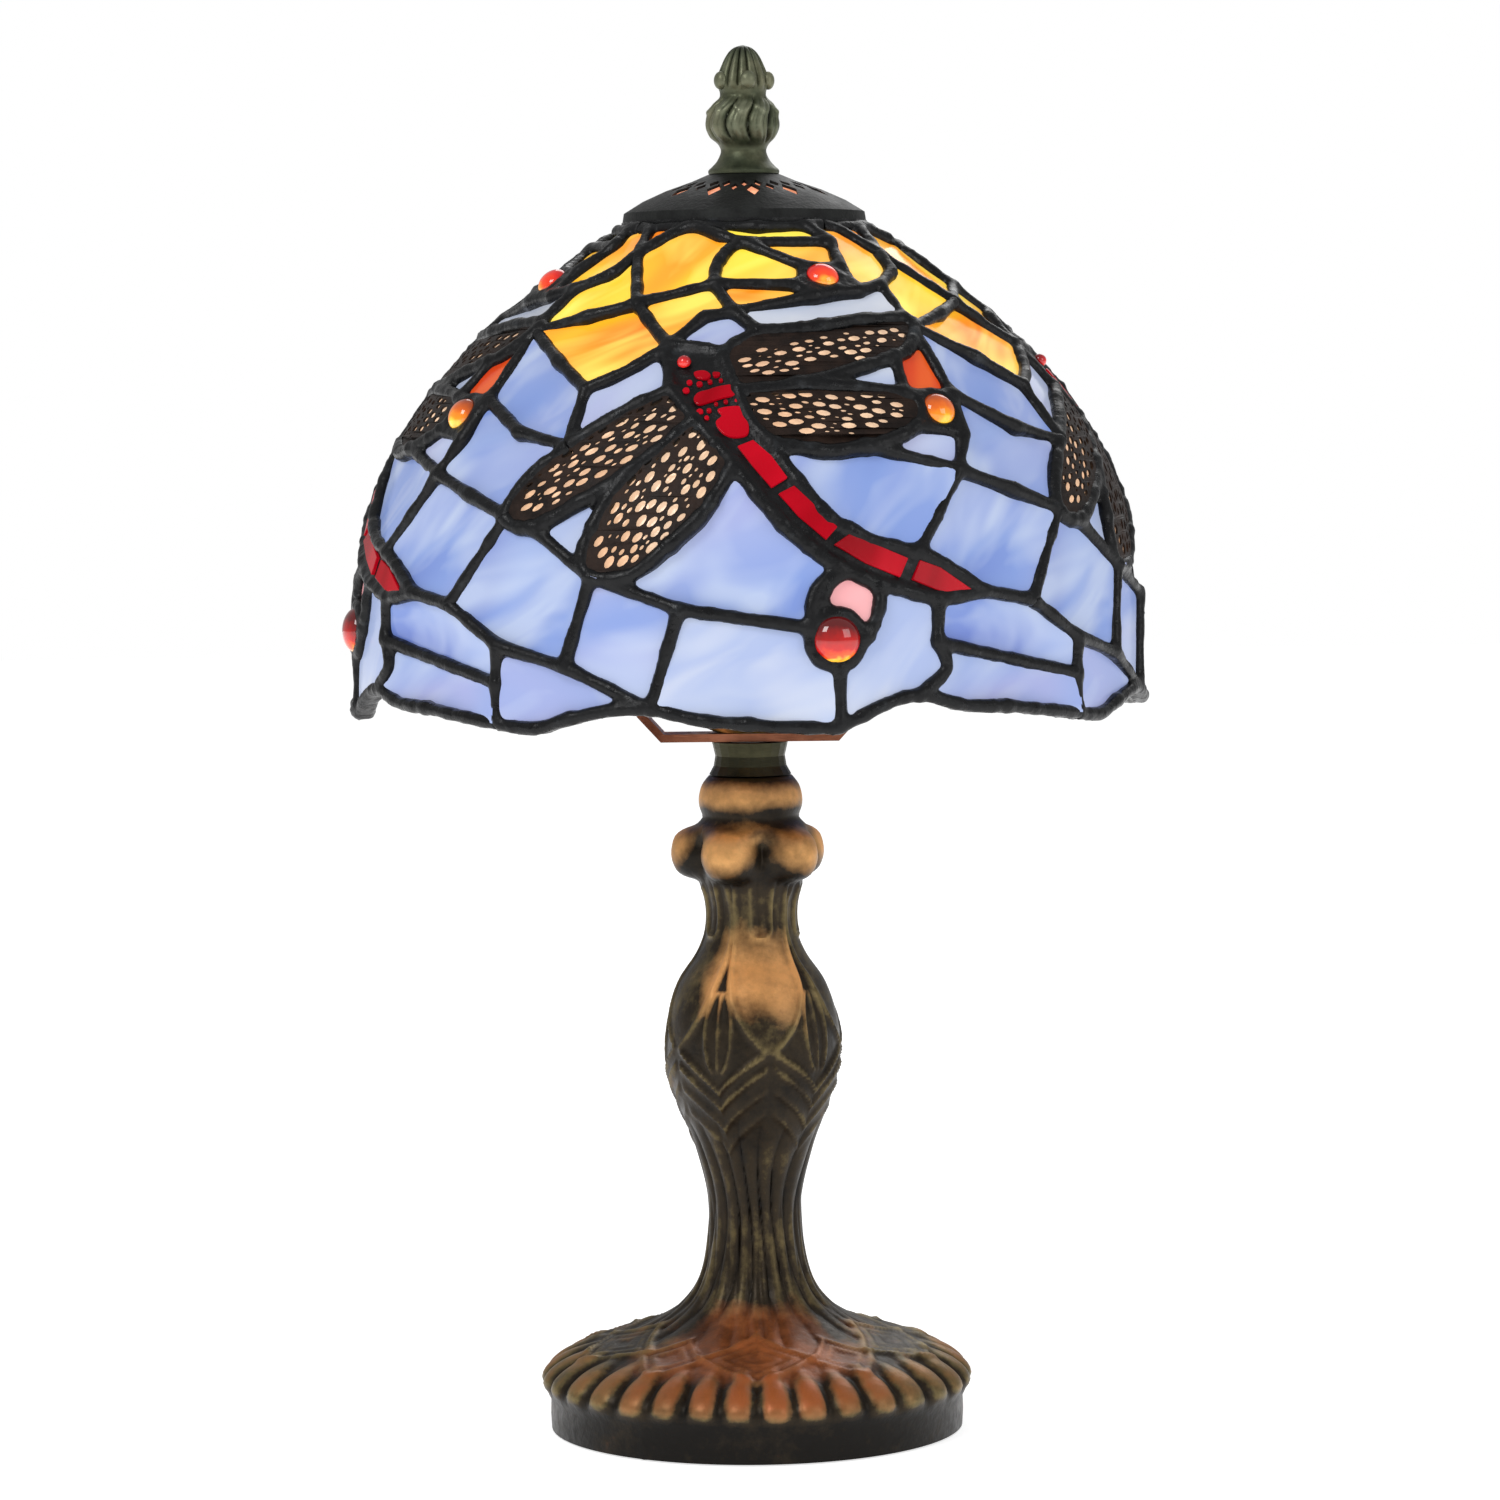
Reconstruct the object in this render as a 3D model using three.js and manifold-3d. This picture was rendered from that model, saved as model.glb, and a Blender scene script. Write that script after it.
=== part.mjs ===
// Leaded-glass table lamp: a cast base with a turned column, a strap bracket over the lampholder,
// and a domed shade of soldered panes with four dragonflies, held down by a cast finial.
// Millimetres, +Z up, origin at the centre of the foot's resting plane, front towards -Y.
import * as THREE from "three";
import { mergeVertices } from "three/addons/utils/BufferGeometryUtils.js";
import Module from "manifold-3d";

const wasm = await Module();
wasm.setup();

// ---- driving dimensions -------------------------------------------------------------------------
const FOOT_RADIUS = 53.6; // widest part of the foot, on its bead row
const FOOT_HEIGHT = 27; // height at which the foot runs into the column
const COLUMN_HEIGHT = 166; // top of the casting, under the neck collar
const CASTING_WALL = 3.2;
const PIPE_RADIUS = 5;
const PIPE_BORE = 3.5;
const FIT_GAP = 0.3; // clearance between neighbouring pieces
const STRAP_THICKNESS = 2;
const STRAP_WIDTH = 12;
const STRAP_HALF_SPAN = 31; // half the distance between the bracket's arms
const STUD_RADIUS = 3;
const HOLDER_RADIUS = 19.5;
const BULB_RADIUS = 22.5;
const BULB_CAP_RADIUS = 13.3;
const SHADE_RADIUS = 99.2; // middle of the glass at the rim
const SHOULDER_HEIGHT = 12; // straight skirt above the rim plane before the dome starts
const DOME_RISE = 126; // from the shoulder to the pole of the dome's curve
const DOME_POWER = 2.5;
const GLASS_THICKNESS = 2.4;
const LEAD_HALF_WIDTH = 1.9;
const LEAD_THICKNESS = 1.9;
const REPEATS = 4; // the cartoon is drawn once and repeated round the shade

// ---- levels that follow from them ---------------------------------------------------------------
const NECK_TOP = COLUMN_HEIGHT + 8.5;
const STRAP_BOTTOM = NECK_TOP + FIT_GAP;
const HOLDER_BOTTOM = STRAP_BOTTOM + STRAP_THICKNESS + FIT_GAP;
const RIM_LEVEL = COLUMN_HEIGHT + 17; // plane of the rim's lowest points
const CARTOON_RIM = 183; // the cartoon's heights are written for a rim at this level
const APERTURE_HEIGHT = 303; // cartoon height of the ring that the panes end on
const STRAP_TOP = RIM_LEVEL + 130;
const CAP_TOP = STRAP_TOP + 3.4;
const FINIAL_FOOT = CAP_TOP + 0.7;

// ---- finishes -----------------------------------------------------------------------------------
const finish = (color, roughness, metalness) =>
  new THREE.MeshStandardMaterial({ color, roughness, metalness });
const bronze = finish(0x6b4a26, 0.42, 0.9);
const verdigris = finish(0x59604a, 0.5, 0.8);
const blackened = finish(0x1b1a19, 0.5, 0.6);
const solder = finish(0x1d1c1c, 0.45, 0.5);
const copper = finish(0x8a5236, 0.4, 0.9);
const brass = finish(0xb5893c, 0.35, 1);
const steel = finish(0x9b9c9c, 0.35, 1);
const felt = finish(0x2b3a2a, 0.95, 0);
const porcelain = finish(0xe8e2d4, 0.3, 0);
const opalBulb = finish(0xfff2d8, 0.3, 0);
const amberGlass = finish(0xf4b93c, 0.25, 0);
const blueGlass = finish(0x9db6e6, 0.25, 0);
const filigree = finish(0x2a1d18, 0.5, 0.5);
const redGlass = finish(0xc4101f, 0.15, 0);
const amberJewel = finish(0xe07b12, 0.1, 0);
const rubyJewel = finish(0xc01212, 0.1, 0);

const lamp = new THREE.Group();
const place = (name, geometry, material, parent = lamp) => {
  const mesh = new THREE.Mesh(geometry, material);
  mesh.name = name;
  parent.add(mesh);
  return mesh;
};

// ---- shape helpers ------------------------------------------------------------------------------
const TURN = Math.PI * 2;
const rad = (degrees) => (degrees * Math.PI) / 180;

// Solid of revolution about Z from a closed [radius, height] outline.
const turned = (outline, sides = 20) => {
  const points = outline.map(([r, z]) => new THREE.Vector2(r, z));
  const area = points.reduce((sum, p, i) => {
    const q = points[(i + 1) % points.length];
    return sum + p.x * q.y - q.x * p.y;
  }, 0);
  if (area < 0) points.reverse();
  points.push(points[0].clone());
  return new THREE.LatheGeometry(points, sides).rotateX(Math.PI / 2);
};

const ring = (inner, outer, bottom, top, sides = 20) =>
  turned([[inner, bottom], [outer, bottom], [outer, top], [inner, top]], sides);

// Regular prism with a round bore, such as a nut.
const nut = (acrossCorners, bore, bottom, height) => {
  const shape = new THREE.Shape();
  for (let i = 0; i < 6; i++) {
    const a = (i * TURN) / 6;
    const corner = [acrossCorners * Math.cos(a), acrossCorners * Math.sin(a)];
    if (i === 0) shape.moveTo(...corner);
    else shape.lineTo(...corner);
  }
  shape.holes.push(new THREE.Path().absarc(0, 0, bore, 0, TURN, true));
  const options = { depth: height, bevelEnabled: false, curveSegments: 10 };
  return new THREE.ExtrudeGeometry(shape, options).translate(0, 0, bottom);
};

const solidOf = (geometry) => {
  const bare = geometry.clone();
  bare.deleteAttribute("normal");
  bare.deleteAttribute("uv");
  const merged = mergeVertices(bare, 1e-3);
  return new wasm.Manifold(
    new wasm.Mesh({
      numProp: 3,
      vertProperties: merged.attributes.position.array,
      triVerts: new Uint32Array(merged.index.array),
    }),
  );
};

const geometryOf = (solid) => {
  const mesh = solid.getMesh();
  return new THREE.BufferGeometry()
    .setAttribute("position", new THREE.BufferAttribute(mesh.vertProperties, 3))
    .setIndex(new THREE.BufferAttribute(mesh.triVerts, 1));
};

const cut = (geometry, tools) =>
  geometryOf(tools.reduce((body, tool) => body.subtract(solidOf(tool)), solidOf(geometry)));

const trianglesToGeometry = (points) => {
  const flat = new Float32Array(points.length * 3);
  points.forEach((p, i) => p.toArray(flat, i * 3));
  return new THREE.BufferGeometry().setAttribute("position", new THREE.BufferAttribute(flat, 3));
};

// ---- base casting -------------------------------------------------------------------------------
// Outline of the casting from the resting edge up to the collar, as [radius, height].
const footOutline = [
  [0.975 * FOOT_RADIUS, 0.4], [0.98 * FOOT_RADIUS, 8], [FOOT_RADIUS, 11.5],
  [0.965 * FOOT_RADIUS, 14.5], [0.9 * FOOT_RADIUS, 17.5], [0.77 * FOOT_RADIUS, 21],
  [0.6 * FOOT_RADIUS, 24],
];
const columnOutline = [
  [24, 27], [17.9, 32], [14.5, 37], [12.4, 44], [11.4, 54], [12.1, 62], [14.9, 72.5], [19, 82.5],
  [21.7, 92], [21.3, 103], [18.3, 113], [13.4, 120.5], [11.1, 126.5], [10.8, 133], [12.4, 138.5],
  [16.2, 142], [18, 146], [16.8, 151], [13.4, 154.6], [12.3, 156], [13.2, 159.5], [12.5, 163.5],
  [10.6, 166],
];
const columnScale = COLUMN_HEIGHT / 166;
const footScale = FOOT_HEIGHT / 27;
const castingOutline = [
  ...footOutline.map(([r, z]) => [r, z * footScale]),
  ...columnOutline.map(([r, z]) => [r, FOOT_HEIGHT + (z - 27) * ((166 * columnScale - FOOT_HEIGHT) / 139)]),
];
const KNOB_LEVEL = (146 * COLUMN_HEIGHT) / 166;
const CAVITY_ROOF = FOOT_HEIGHT + 3;
const pipeBore = PIPE_RADIUS + FIT_GAP;

// The knob under the collar swells into six lobes and the foot's edge into a row of beads.
const LOBES = 6;
const lobed = (geometry) => {
  const position = geometry.attributes.position;
  const point = new THREE.Vector3();
  for (let i = 0; i < position.count; i++) {
    point.fromBufferAttribute(position, i);
    const radius = Math.hypot(point.x, point.y);
    const nearKnob = Math.max(0, 1 - Math.abs(point.z - KNOB_LEVEL) / 8);
    if (radius < 12.8 || nearKnob === 0) continue;
    const angle = Math.atan2(point.y, point.x);
    const swell = 1 - 0.09 * nearKnob * (1 - Math.abs(Math.cos((LOBES / 2) * angle)));
    position.setXY(i, point.x * swell, point.y * swell);
  }
  return geometry;
};
const inside = [
  [pipeBore, COLUMN_HEIGHT], [pipeBore, CAVITY_ROOF], [14, CAVITY_ROOF],
  [0.6 * FOOT_RADIUS - CASTING_WALL, 24 * footScale - CASTING_WALL],
  [0.77 * FOOT_RADIUS - CASTING_WALL, 21 * footScale - CASTING_WALL],
  [0.9 * FOOT_RADIUS - CASTING_WALL, 17.5 * footScale - CASTING_WALL],
  [0.975 * FOOT_RADIUS - CASTING_WALL, 0.4],
];
const INLET_LEVEL = 7.5;
const INLET_RADIUS = 3.8;
const inletDrill = new THREE.CylinderGeometry(INLET_RADIUS, INLET_RADIUS, 20, 12)
  .translate(0, FOOT_RADIUS, INLET_LEVEL);
place("base_casting", cut(lobed(turned([...castingOutline, ...inside], 30)), [inletDrill]), bronze);

const FELT_RADIUS = 0.975 * FOOT_RADIUS - CASTING_WALL - 1;
place("felt_pad", ring(7, FELT_RADIUS, 0, 2, 28), felt);
place("ballast_disc", ring(7, FELT_RADIUS - 5, 2.3, 7.5, 24), steel);
place("pipe_washer", ring(pipeBore, 12, CAVITY_ROOF - 1.9, CAVITY_ROOF - FIT_GAP, 20), steel);
place("pipe_lock_nut", nut(9.5, pipeBore, CAVITY_ROOF - 7.5, 5.2), brass);

const grommetBody = turned(
  [[2.6, 0], [INLET_RADIUS - FIT_GAP, 0], [INLET_RADIUS - FIT_GAP, 6.6], [5.6, 6.6], [5.6, 9], [2.6, 9]],
  16,
);
place("cord_bushing", grommetBody.rotateX(-Math.PI / 2), blackened)
  .position.set(0, FOOT_RADIUS + FIT_GAP - 6.6, INLET_LEVEL);

const pipeTop = HOLDER_BOTTOM + 9;
place("lamp_pipe", ring(PIPE_BORE, PIPE_RADIUS, CAVITY_ROOF - 11, pipeTop, 20), brass);
place("neck_collar", turned([
  [pipeBore, COLUMN_HEIGHT + FIT_GAP], [10.4, COLUMN_HEIGHT + FIT_GAP], [9.2, COLUMN_HEIGHT + 2.5],
  [8.8, COLUMN_HEIGHT + 5], [9.6, NECK_TOP], [pipeBore, NECK_TOP],
]), bronze);

// ---- strap bracket: a closed loop of flat strip standing over the lampholder ---------------------
const strapPath = [
  [22, STRAP_BOTTOM + STRAP_THICKNESS / 2],
  [STRAP_HALF_SPAN - 3.5, STRAP_BOTTOM + 7],
  [STRAP_HALF_SPAN, STRAP_BOTTOM + 25],
  [STRAP_HALF_SPAN, RIM_LEVEL + 92],
  [9, STRAP_TOP - STRAP_THICKNESS / 2],
];
const offsetLoop = (corners, distance) =>
  corners.map((corner, i) => {
    const before = corners[(i + corners.length - 1) % corners.length];
    const after = corners[(i + 1) % corners.length];
    const into = new THREE.Vector2(corner[0] - before[0], corner[1] - before[1]).normalize();
    const away = new THREE.Vector2(after[0] - corner[0], after[1] - corner[1]).normalize();
    const mitre = new THREE.Vector2(into.y + away.y, -into.x - away.x);
    mitre.multiplyScalar(distance / (1 + into.dot(away)));
    return new THREE.Vector2(corner[0] + mitre.x, corner[1] + mitre.y);
  });
const strapLoop = [...strapPath, ...strapPath.map(([x, z]) => [-x, z]).reverse()];
const strapShape = new THREE.Shape(offsetLoop(strapLoop, STRAP_THICKNESS / 2));
strapShape.holes.push(new THREE.Path(offsetLoop(strapLoop, -STRAP_THICKNESS / 2).reverse()));
const strapBlank = new THREE.ExtrudeGeometry(strapShape, { depth: STRAP_WIDTH, bevelEnabled: false })
  .translate(0, 0, -STRAP_WIDTH / 2)
  .rotateX(Math.PI / 2);
const drill = (radius, level) =>
  new THREE.CylinderGeometry(radius, radius, 8, 20).rotateX(Math.PI / 2).translate(0, 0, level);
place("shade_bracket", cut(strapBlank, [
  drill(pipeBore, STRAP_BOTTOM),
  drill(STUD_RADIUS + FIT_GAP, STRAP_TOP),
]), copper);
place("stud_nut", nut(5.6, STUD_RADIUS + FIT_GAP, STRAP_TOP - STRAP_THICKNESS - 4.3, 4), steel);
place("bracket_stud", turned([
  [0, STRAP_TOP - 7.5], [STUD_RADIUS, STRAP_TOP - 7.5], [STUD_RADIUS, FINIAL_FOOT + 10.5],
  [STUD_RADIUS - 0.6, FINIAL_FOOT + 11.2], [0, FINIAL_FOOT + 11.2],
], 16), steel);

// ---- lampholder ---------------------------------------------------------------------------------
const holderBody = HOLDER_BOTTOM + 14;
const socketFloor = holderBody + 8;
const holderTop = holderBody + 35;
place("holder_cap", turned([
  [pipeBore, HOLDER_BOTTOM], [9, HOLDER_BOTTOM], [16, HOLDER_BOTTOM + 3],
  [HOLDER_RADIUS + 0.8, HOLDER_BOTTOM + 8], [HOLDER_RADIUS + 0.8, holderBody - FIT_GAP],
  [HOLDER_RADIUS - 1, holderBody - FIT_GAP], [HOLDER_RADIUS - 1, HOLDER_BOTTOM + 9.5],
  [15, HOLDER_BOTTOM + 5], [pipeBore, HOLDER_BOTTOM + 2.4],
], 20), brass);
place("holder_insulator", turned([
  [0, holderBody], [HOLDER_RADIUS, holderBody], [HOLDER_RADIUS, holderTop],
  [BULB_CAP_RADIUS + 2.3, holderTop], [BULB_CAP_RADIUS + 2.3, socketFloor], [0, socketFloor],
], 20), porcelain);
place("holder_ring", turned([
  [HOLDER_RADIUS + FIT_GAP, holderBody + 16], [HOLDER_RADIUS + 2.2, holderBody + 17],
  [HOLDER_RADIUS + 2.2, holderBody + 21], [HOLDER_RADIUS + FIT_GAP, holderBody + 22],
], 20), porcelain);
place("screw_shell", ring(
  BULB_CAP_RADIUS + 0.6, BULB_CAP_RADIUS + 1.4, socketFloor + 1.5, holderTop - 1, 20,
), brass);
place("centre_contact", turned([
  [0, socketFloor + FIT_GAP], [4, socketFloor + FIT_GAP], [4, socketFloor + 1.8], [0, socketFloor + 1.8],
], 12), brass);

// ---- bulb ---------------------------------------------------------------------------------------
const bulbSeat = socketFloor + 2.1;
const bulbNeck = holderTop + 0.6;
place("bulb_cap", turned([
  [0, bulbSeat], [3.6, bulbSeat], [4.6, bulbSeat + 1.5], [BULB_CAP_RADIUS - 2, bulbSeat + 3.4],
  [BULB_CAP_RADIUS, bulbSeat + 5], [BULB_CAP_RADIUS, bulbNeck],
  [BULB_CAP_RADIUS - 1.6, bulbNeck], [BULB_CAP_RADIUS - 1.6, bulbNeck - 4], [0, bulbNeck - 4],
], 20), brass);
const bulbCentre = bulbNeck + 3.2 + Math.sqrt(BULB_RADIUS ** 2 - 13 ** 2);
const bulbArc = (radius, from, to, steps) =>
  Array.from({ length: steps + 1 }, (_, i) => {
    const a = from + ((to - from) * i) / steps;
    return [Math.max(0, radius * Math.cos(a)), bulbCentre + radius * Math.sin(a)];
  });
const neckAngle = -Math.acos(13 / BULB_RADIUS);
place("bulb_glass", turned([
  [12.6, bulbNeck + FIT_GAP],
  ...bulbArc(BULB_RADIUS, neckAngle, Math.PI / 2, 7),
  ...bulbArc(BULB_RADIUS - 1, Math.PI / 2, neckAngle, 5),
  [11.4, bulbNeck + FIT_GAP],
], 20), opalBulb);

// ---- shade surface ------------------------------------------------------------------------------
// Points on the shade are [azimuth, height]: azimuth in degrees, 0 at the front, positive towards +X.
const shade = new THREE.Group();
shade.position.z = RIM_LEVEL - CARTOON_RIM;
lamp.add(shade);
const DOME_BASE = CARTOON_RIM + SHOULDER_HEIGHT;

const domeRadius = (height) => {
  const t = Math.max(0, height - DOME_BASE) / DOME_RISE;
  return SHADE_RADIUS * (1 - t ** DOME_POWER);
};

const domeNormal = (height) => {
  const slope = (domeRadius(height - 0.5) - domeRadius(height + 0.5)) / 1;
  const length = Math.hypot(1, slope);
  return [1 / length, slope / length];
};

const onDome = (azimuth, height, offset) => {
  const [outward, upward] = domeNormal(height);
  const r = domeRadius(height) + outward * offset;
  const a = rad(azimuth);
  return new THREE.Vector3(r * Math.sin(a), -r * Math.cos(a), height + upward * offset);
};

// Closed shell over a patch of the dome; corner(u, v) gives [azimuth, height] for u, v in 0..1.
const domeShell = (corner, columns, rows, outer, inner) => {
  const at = (i, j, offset) => onDome(...corner(i / columns, j / rows), offset);
  const points = [];
  const quad = (a, b, c, d) => points.push(a, b, c, a, c, d);
  for (let i = 0; i < columns; i++)
    for (let j = 0; j < rows; j++) {
      quad(at(i, j, outer), at(i + 1, j, outer), at(i + 1, j + 1, outer), at(i, j + 1, outer));
      quad(at(i, j, inner), at(i, j + 1, inner), at(i + 1, j + 1, inner), at(i + 1, j, inner));
    }
  for (let i = 0; i < columns; i++) {
    quad(at(i, 0, inner), at(i + 1, 0, inner), at(i + 1, 0, outer), at(i, 0, outer));
    quad(at(i, rows, outer), at(i + 1, rows, outer), at(i + 1, rows, inner), at(i, rows, inner));
  }
  for (let j = 0; j < rows; j++) {
    quad(at(0, j, outer), at(0, j + 1, outer), at(0, j + 1, inner), at(0, j, inner));
    quad(at(columns, j, inner), at(columns, j + 1, inner), at(columns, j + 1, outer), at(columns, j, outer));
  }
  return trianglesToGeometry(points);
};

// ---- cartoon: the junctions of the leading, for one quarter of the shade -------------------------
const A = APERTURE_HEIGHT;
const JUNCTIONS = {
  // aperture ring
  ringA: [-53, A], ringB: [-25, A], ringC: [-20, A], ringM: [5, A], ringD: [28, A],
  // crown
  crownTip: [-38.5, 296], sliverDip: [-9, 301], peak: [0, 299.5], quadTop: [33.5, 299.5],
  leafLeft: [-8, 294], leafFoot: [-8, 288.5], leafTip: [18, 292.5], quadFoot: [29.5, 292.5],
  jewelWest: [13, 288], jewelSouth: [17.5, 285], jewelEast: [30, 286],
  stripEnd: [38.5, 287.5], heel: [48, 291.5], kite: [-27, 284], nape: [-15.5, 273.5],
  brow: [-9, 280.5], stripStart: [-2.5, 281.5], wingShoulder: [2.5, 276.8],
  wingTipUpper: [37.5, 280.2], cornerEast: [38.5, 277.5], amberLine: [-39, 281],
  amberFoot: [-29.5, 263.5], amberSide: [-39, 270.5],
  // dragonfly
  headRight: [-4, 272], chestRight: [-1.5, 262.5], hip: [3.5, 250.5], tailRight: [12, 232.5],
  tailKnee: [24.5, 224.5], tailTip: [34.5, 215], tailUnder: [27, 213.5], pinkRight: [18.5, 217],
  pinkLeft: [12.5, 221.5], tailLeft: [5, 231.5], tailRoot: [-2, 245.5], waistLeft: [-5, 250.5],
  armpitLeft: [-8.5, 256], shoulderLeft: [-13, 263], armpitRight: [9, 264],
  upperWingEdge: [16, 279], upperWingLow: [29.8, 270.5], lowerWingTop: [28.3, 261.5],
  lowerWingTip: [28.5, 254], lowerWingLow: [19, 249.5],
  leftWingTop: [-29, 250], leftWingTip: [-37.5, 233.5], leftWingUnder: [-32.5, 231],
  leftCrotch: [-17.5, 244.5], lowWingOuter: [-22.5, 231], lowWingTip: [-22.3, 219.5],
  lowWingInner: [-11, 227],
  // field
  quadShoulder: [38.3, 261.3], amberJewelEast: [37, 252], lilacCorner: [34, 243.5],
  fieldMid: [50, 253.5], fieldLow: [43.5, 238.8], squareFoot: [43.5, 212.5],
  // lower band
  rubyWest: [8.6, 207.3], rubyNorth: [11.8, 210.8], rubyEast: [16.6, 205.5], rubySouth: [12.3, 198],
  bandMid: [-9.5, 212], pinkOuter: [18, 211], stackTop: [-37, 203], stackMid: [-37.3, 194.2],
  stackLeft: [26.6, 203.2], bandLow: [-26, 198.5],
  rimHighWest: [-13.5, 188.6], rimLow: [12.3, 184.3], rimHighEast: [23.7, 191], rimHeel: [-37, 184.6],
  rimMidA: [-25, 186.4], rimMidB: [0, 185], rimMidC: [38, 187.5],
};

// Panes as closed walks round their junctions, anticlockwise seen from outside. A "+" or "-" takes
// the junction from the next or the previous quarter.
const PANES = {
  crown_sliver: "ringA crownTip ringB",
  crown_big: "ringB crownTip kite leafFoot leafLeft peak sliverDip ringC",
  crown_top: "ringC sliverDip peak quadTop ringD ringM",
  crown_leaf: "peak leafLeft leafFoot jewelWest leafTip",
  crown_quad: "peak leafTip quadFoot quadTop",
  crown_fan: "ringD quadTop quadFoot jewelEast stripEnd heel crownTip+ ringA+",
  crown_low: "leafFoot stripStart jewelSouth jewelWest",
  crown_side: "heel stripEnd wingTipUpper cornerEast amberLine+ kite+ crownTip+",
  crown_neck: "kite nape brow stripStart leafFoot",
  crown_streak: "amberLine cornerEast- amberSide amberFoot nape kite",
  pale_strip: "stripStart wingShoulder upperWingEdge wingTipUpper stripEnd jewelEast jewelSouth",
  head_pane: "nape headRight wingShoulder stripStart brow",
  neck_pane: "nape amberFoot leftWingTop shoulderLeft",
  wing_pane_right:
    "wingShoulder headRight chestRight hip lowerWingLow lowerWingTip lowerWingTop armpitRight " +
    "upperWingLow cornerEast wingTipUpper upperWingEdge",
  gap_right: "armpitRight lowerWingTop upperWingLow",
  ember: "upperWingLow lowerWingTop quadShoulder cornerEast",
  lilac_right: "lowerWingLow lilacCorner amberJewelEast lowerWingTip",
  field_right: "hip tailRight tailKnee lilacCorner lowerWingLow",
  wing_pane_left:
    "shoulderLeft leftWingTop leftWingTip leftWingUnder leftCrotch lowWingOuter lowWingTip " +
    "lowWingInner tailRoot waistLeft armpitLeft",
  gap_left: "leftCrotch leftWingUnder lowWingTip lowWingOuter",
  side_upper: "cornerEast quadShoulder fieldMid leftWingTop+ amberFoot+ amberSide+",
  side_lower: "quadShoulder amberJewelEast lilacCorner fieldLow leftWingTip+ leftWingTop+ fieldMid",
  square: "lilacCorner tailKnee tailTip squareFoot leftWingTip+ fieldLow",
  field_left: "tailRoot lowWingInner lowWingTip bandMid rubyWest pinkLeft tailLeft",
  band_a: "leftWingTip squareFoot- stackTop bandLow lowWingTip leftWingUnder",
  band_b: "lowWingTip bandLow rimHighWest bandMid",
  band_c: "stackTop stackMid rimHeel rimMidA rimHighWest bandLow",
  band_d: "bandMid rimHighWest rimMidB rimLow rubySouth rubyWest",
  pink: "pinkLeft rubyWest rubyNorth rubyEast pinkOuter pinkRight",
  curve: "pinkRight pinkOuter rubyEast rubySouth rimLow rimHighEast stackLeft tailUnder",
  stack_a: "tailTip tailUnder stackLeft stackMid+ stackTop+ squareFoot",
  stack_b: "stackLeft rimHighEast rimMidC rimHeel+ stackMid+",
};
// The dragonfly's body lies over its own opening; the jewels stand on solid pads of leading.
PANES.body_pane =
  "headRight nape shoulderLeft armpitLeft waistLeft tailRoot tailLeft pinkLeft pinkRight " +
  "tailUnder tailTip tailKnee tailRight hip chestRight";
const PADS = {
  crown_jewel_pad: "jewelWest jewelSouth jewelEast quadFoot leafTip",
  amber_jewel_pad: "quadShoulder lowerWingTop lowerWingTip amberJewelEast",
  ruby_pad: "rubyNorth rubyWest rubySouth rubyEast",
};

const QUARTER = 360 / REPEATS;
const junction = (name, quarter) => {
  const shift = name.endsWith("+") ? 1 : name.endsWith("-") ? -1 : 0;
  const [azimuth, height] = JUNCTIONS[name.replace(/[+-]$/, "")];
  return new THREE.Vector2(azimuth + QUARTER * (quarter + shift), height);
};
const walk = (names, quarter) => names.split(" ").map((name) => junction(name, quarter));

// Lengths on the shade are compared on a flattened patch: x along the row, y up the slope.
const flatten = (points) => {
  const middle = points.reduce((sum, p) => sum + p.y, 0) / points.length;
  const across = rad(domeRadius(middle));
  const [outward] = domeNormal(middle);
  const up = 1 / outward;
  return {
    to: (p) => new THREE.Vector2(p.x * across, p.y * up),
    from: (p) => [p.x / across, p.y / up],
  };
};

const LONGEST_EDGE = 24;
const splitEdges = (points) =>
  points.flatMap((p, i) => {
    const q = points[(i + 1) % points.length];
    const { to } = flatten([p, q]);
    const parts = Math.ceil(to(p).distanceTo(to(q)) / LONGEST_EDGE);
    return Array.from({ length: parts }, (_, k) => p.clone().lerp(q, k / parts));
  });

// The walk moved inwards by the leading's half width; null where the pane is too small for it.
const insetWalk = (points, distance) => {
  const { to, from } = flatten(points);
  const flat = points.map(to);
  const count = flat.length;
  const edge = (i) => flat[(i + 1) % count].clone().sub(flat[i]).normalize();
  for (let d = distance; d > 0.4 * distance; d *= 0.85) {
    const moved = flat.map((p, i) => {
      const into = edge((i + count - 1) % count);
      const away = edge(i);
      const inward = new THREE.Vector2(-into.y - away.y, into.x + away.x);
      inward.multiplyScalar(d / Math.max(0.25, 1 + into.dot(away)));
      return p.clone().add(inward);
    });
    const keepsOrder = moved.every((p, i) =>
      moved[(i + 1) % count].clone().sub(p).dot(edge(i)) > 0.15);
    if (keepsOrder) return moved.map(from);
  }
  return null;
};

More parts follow.
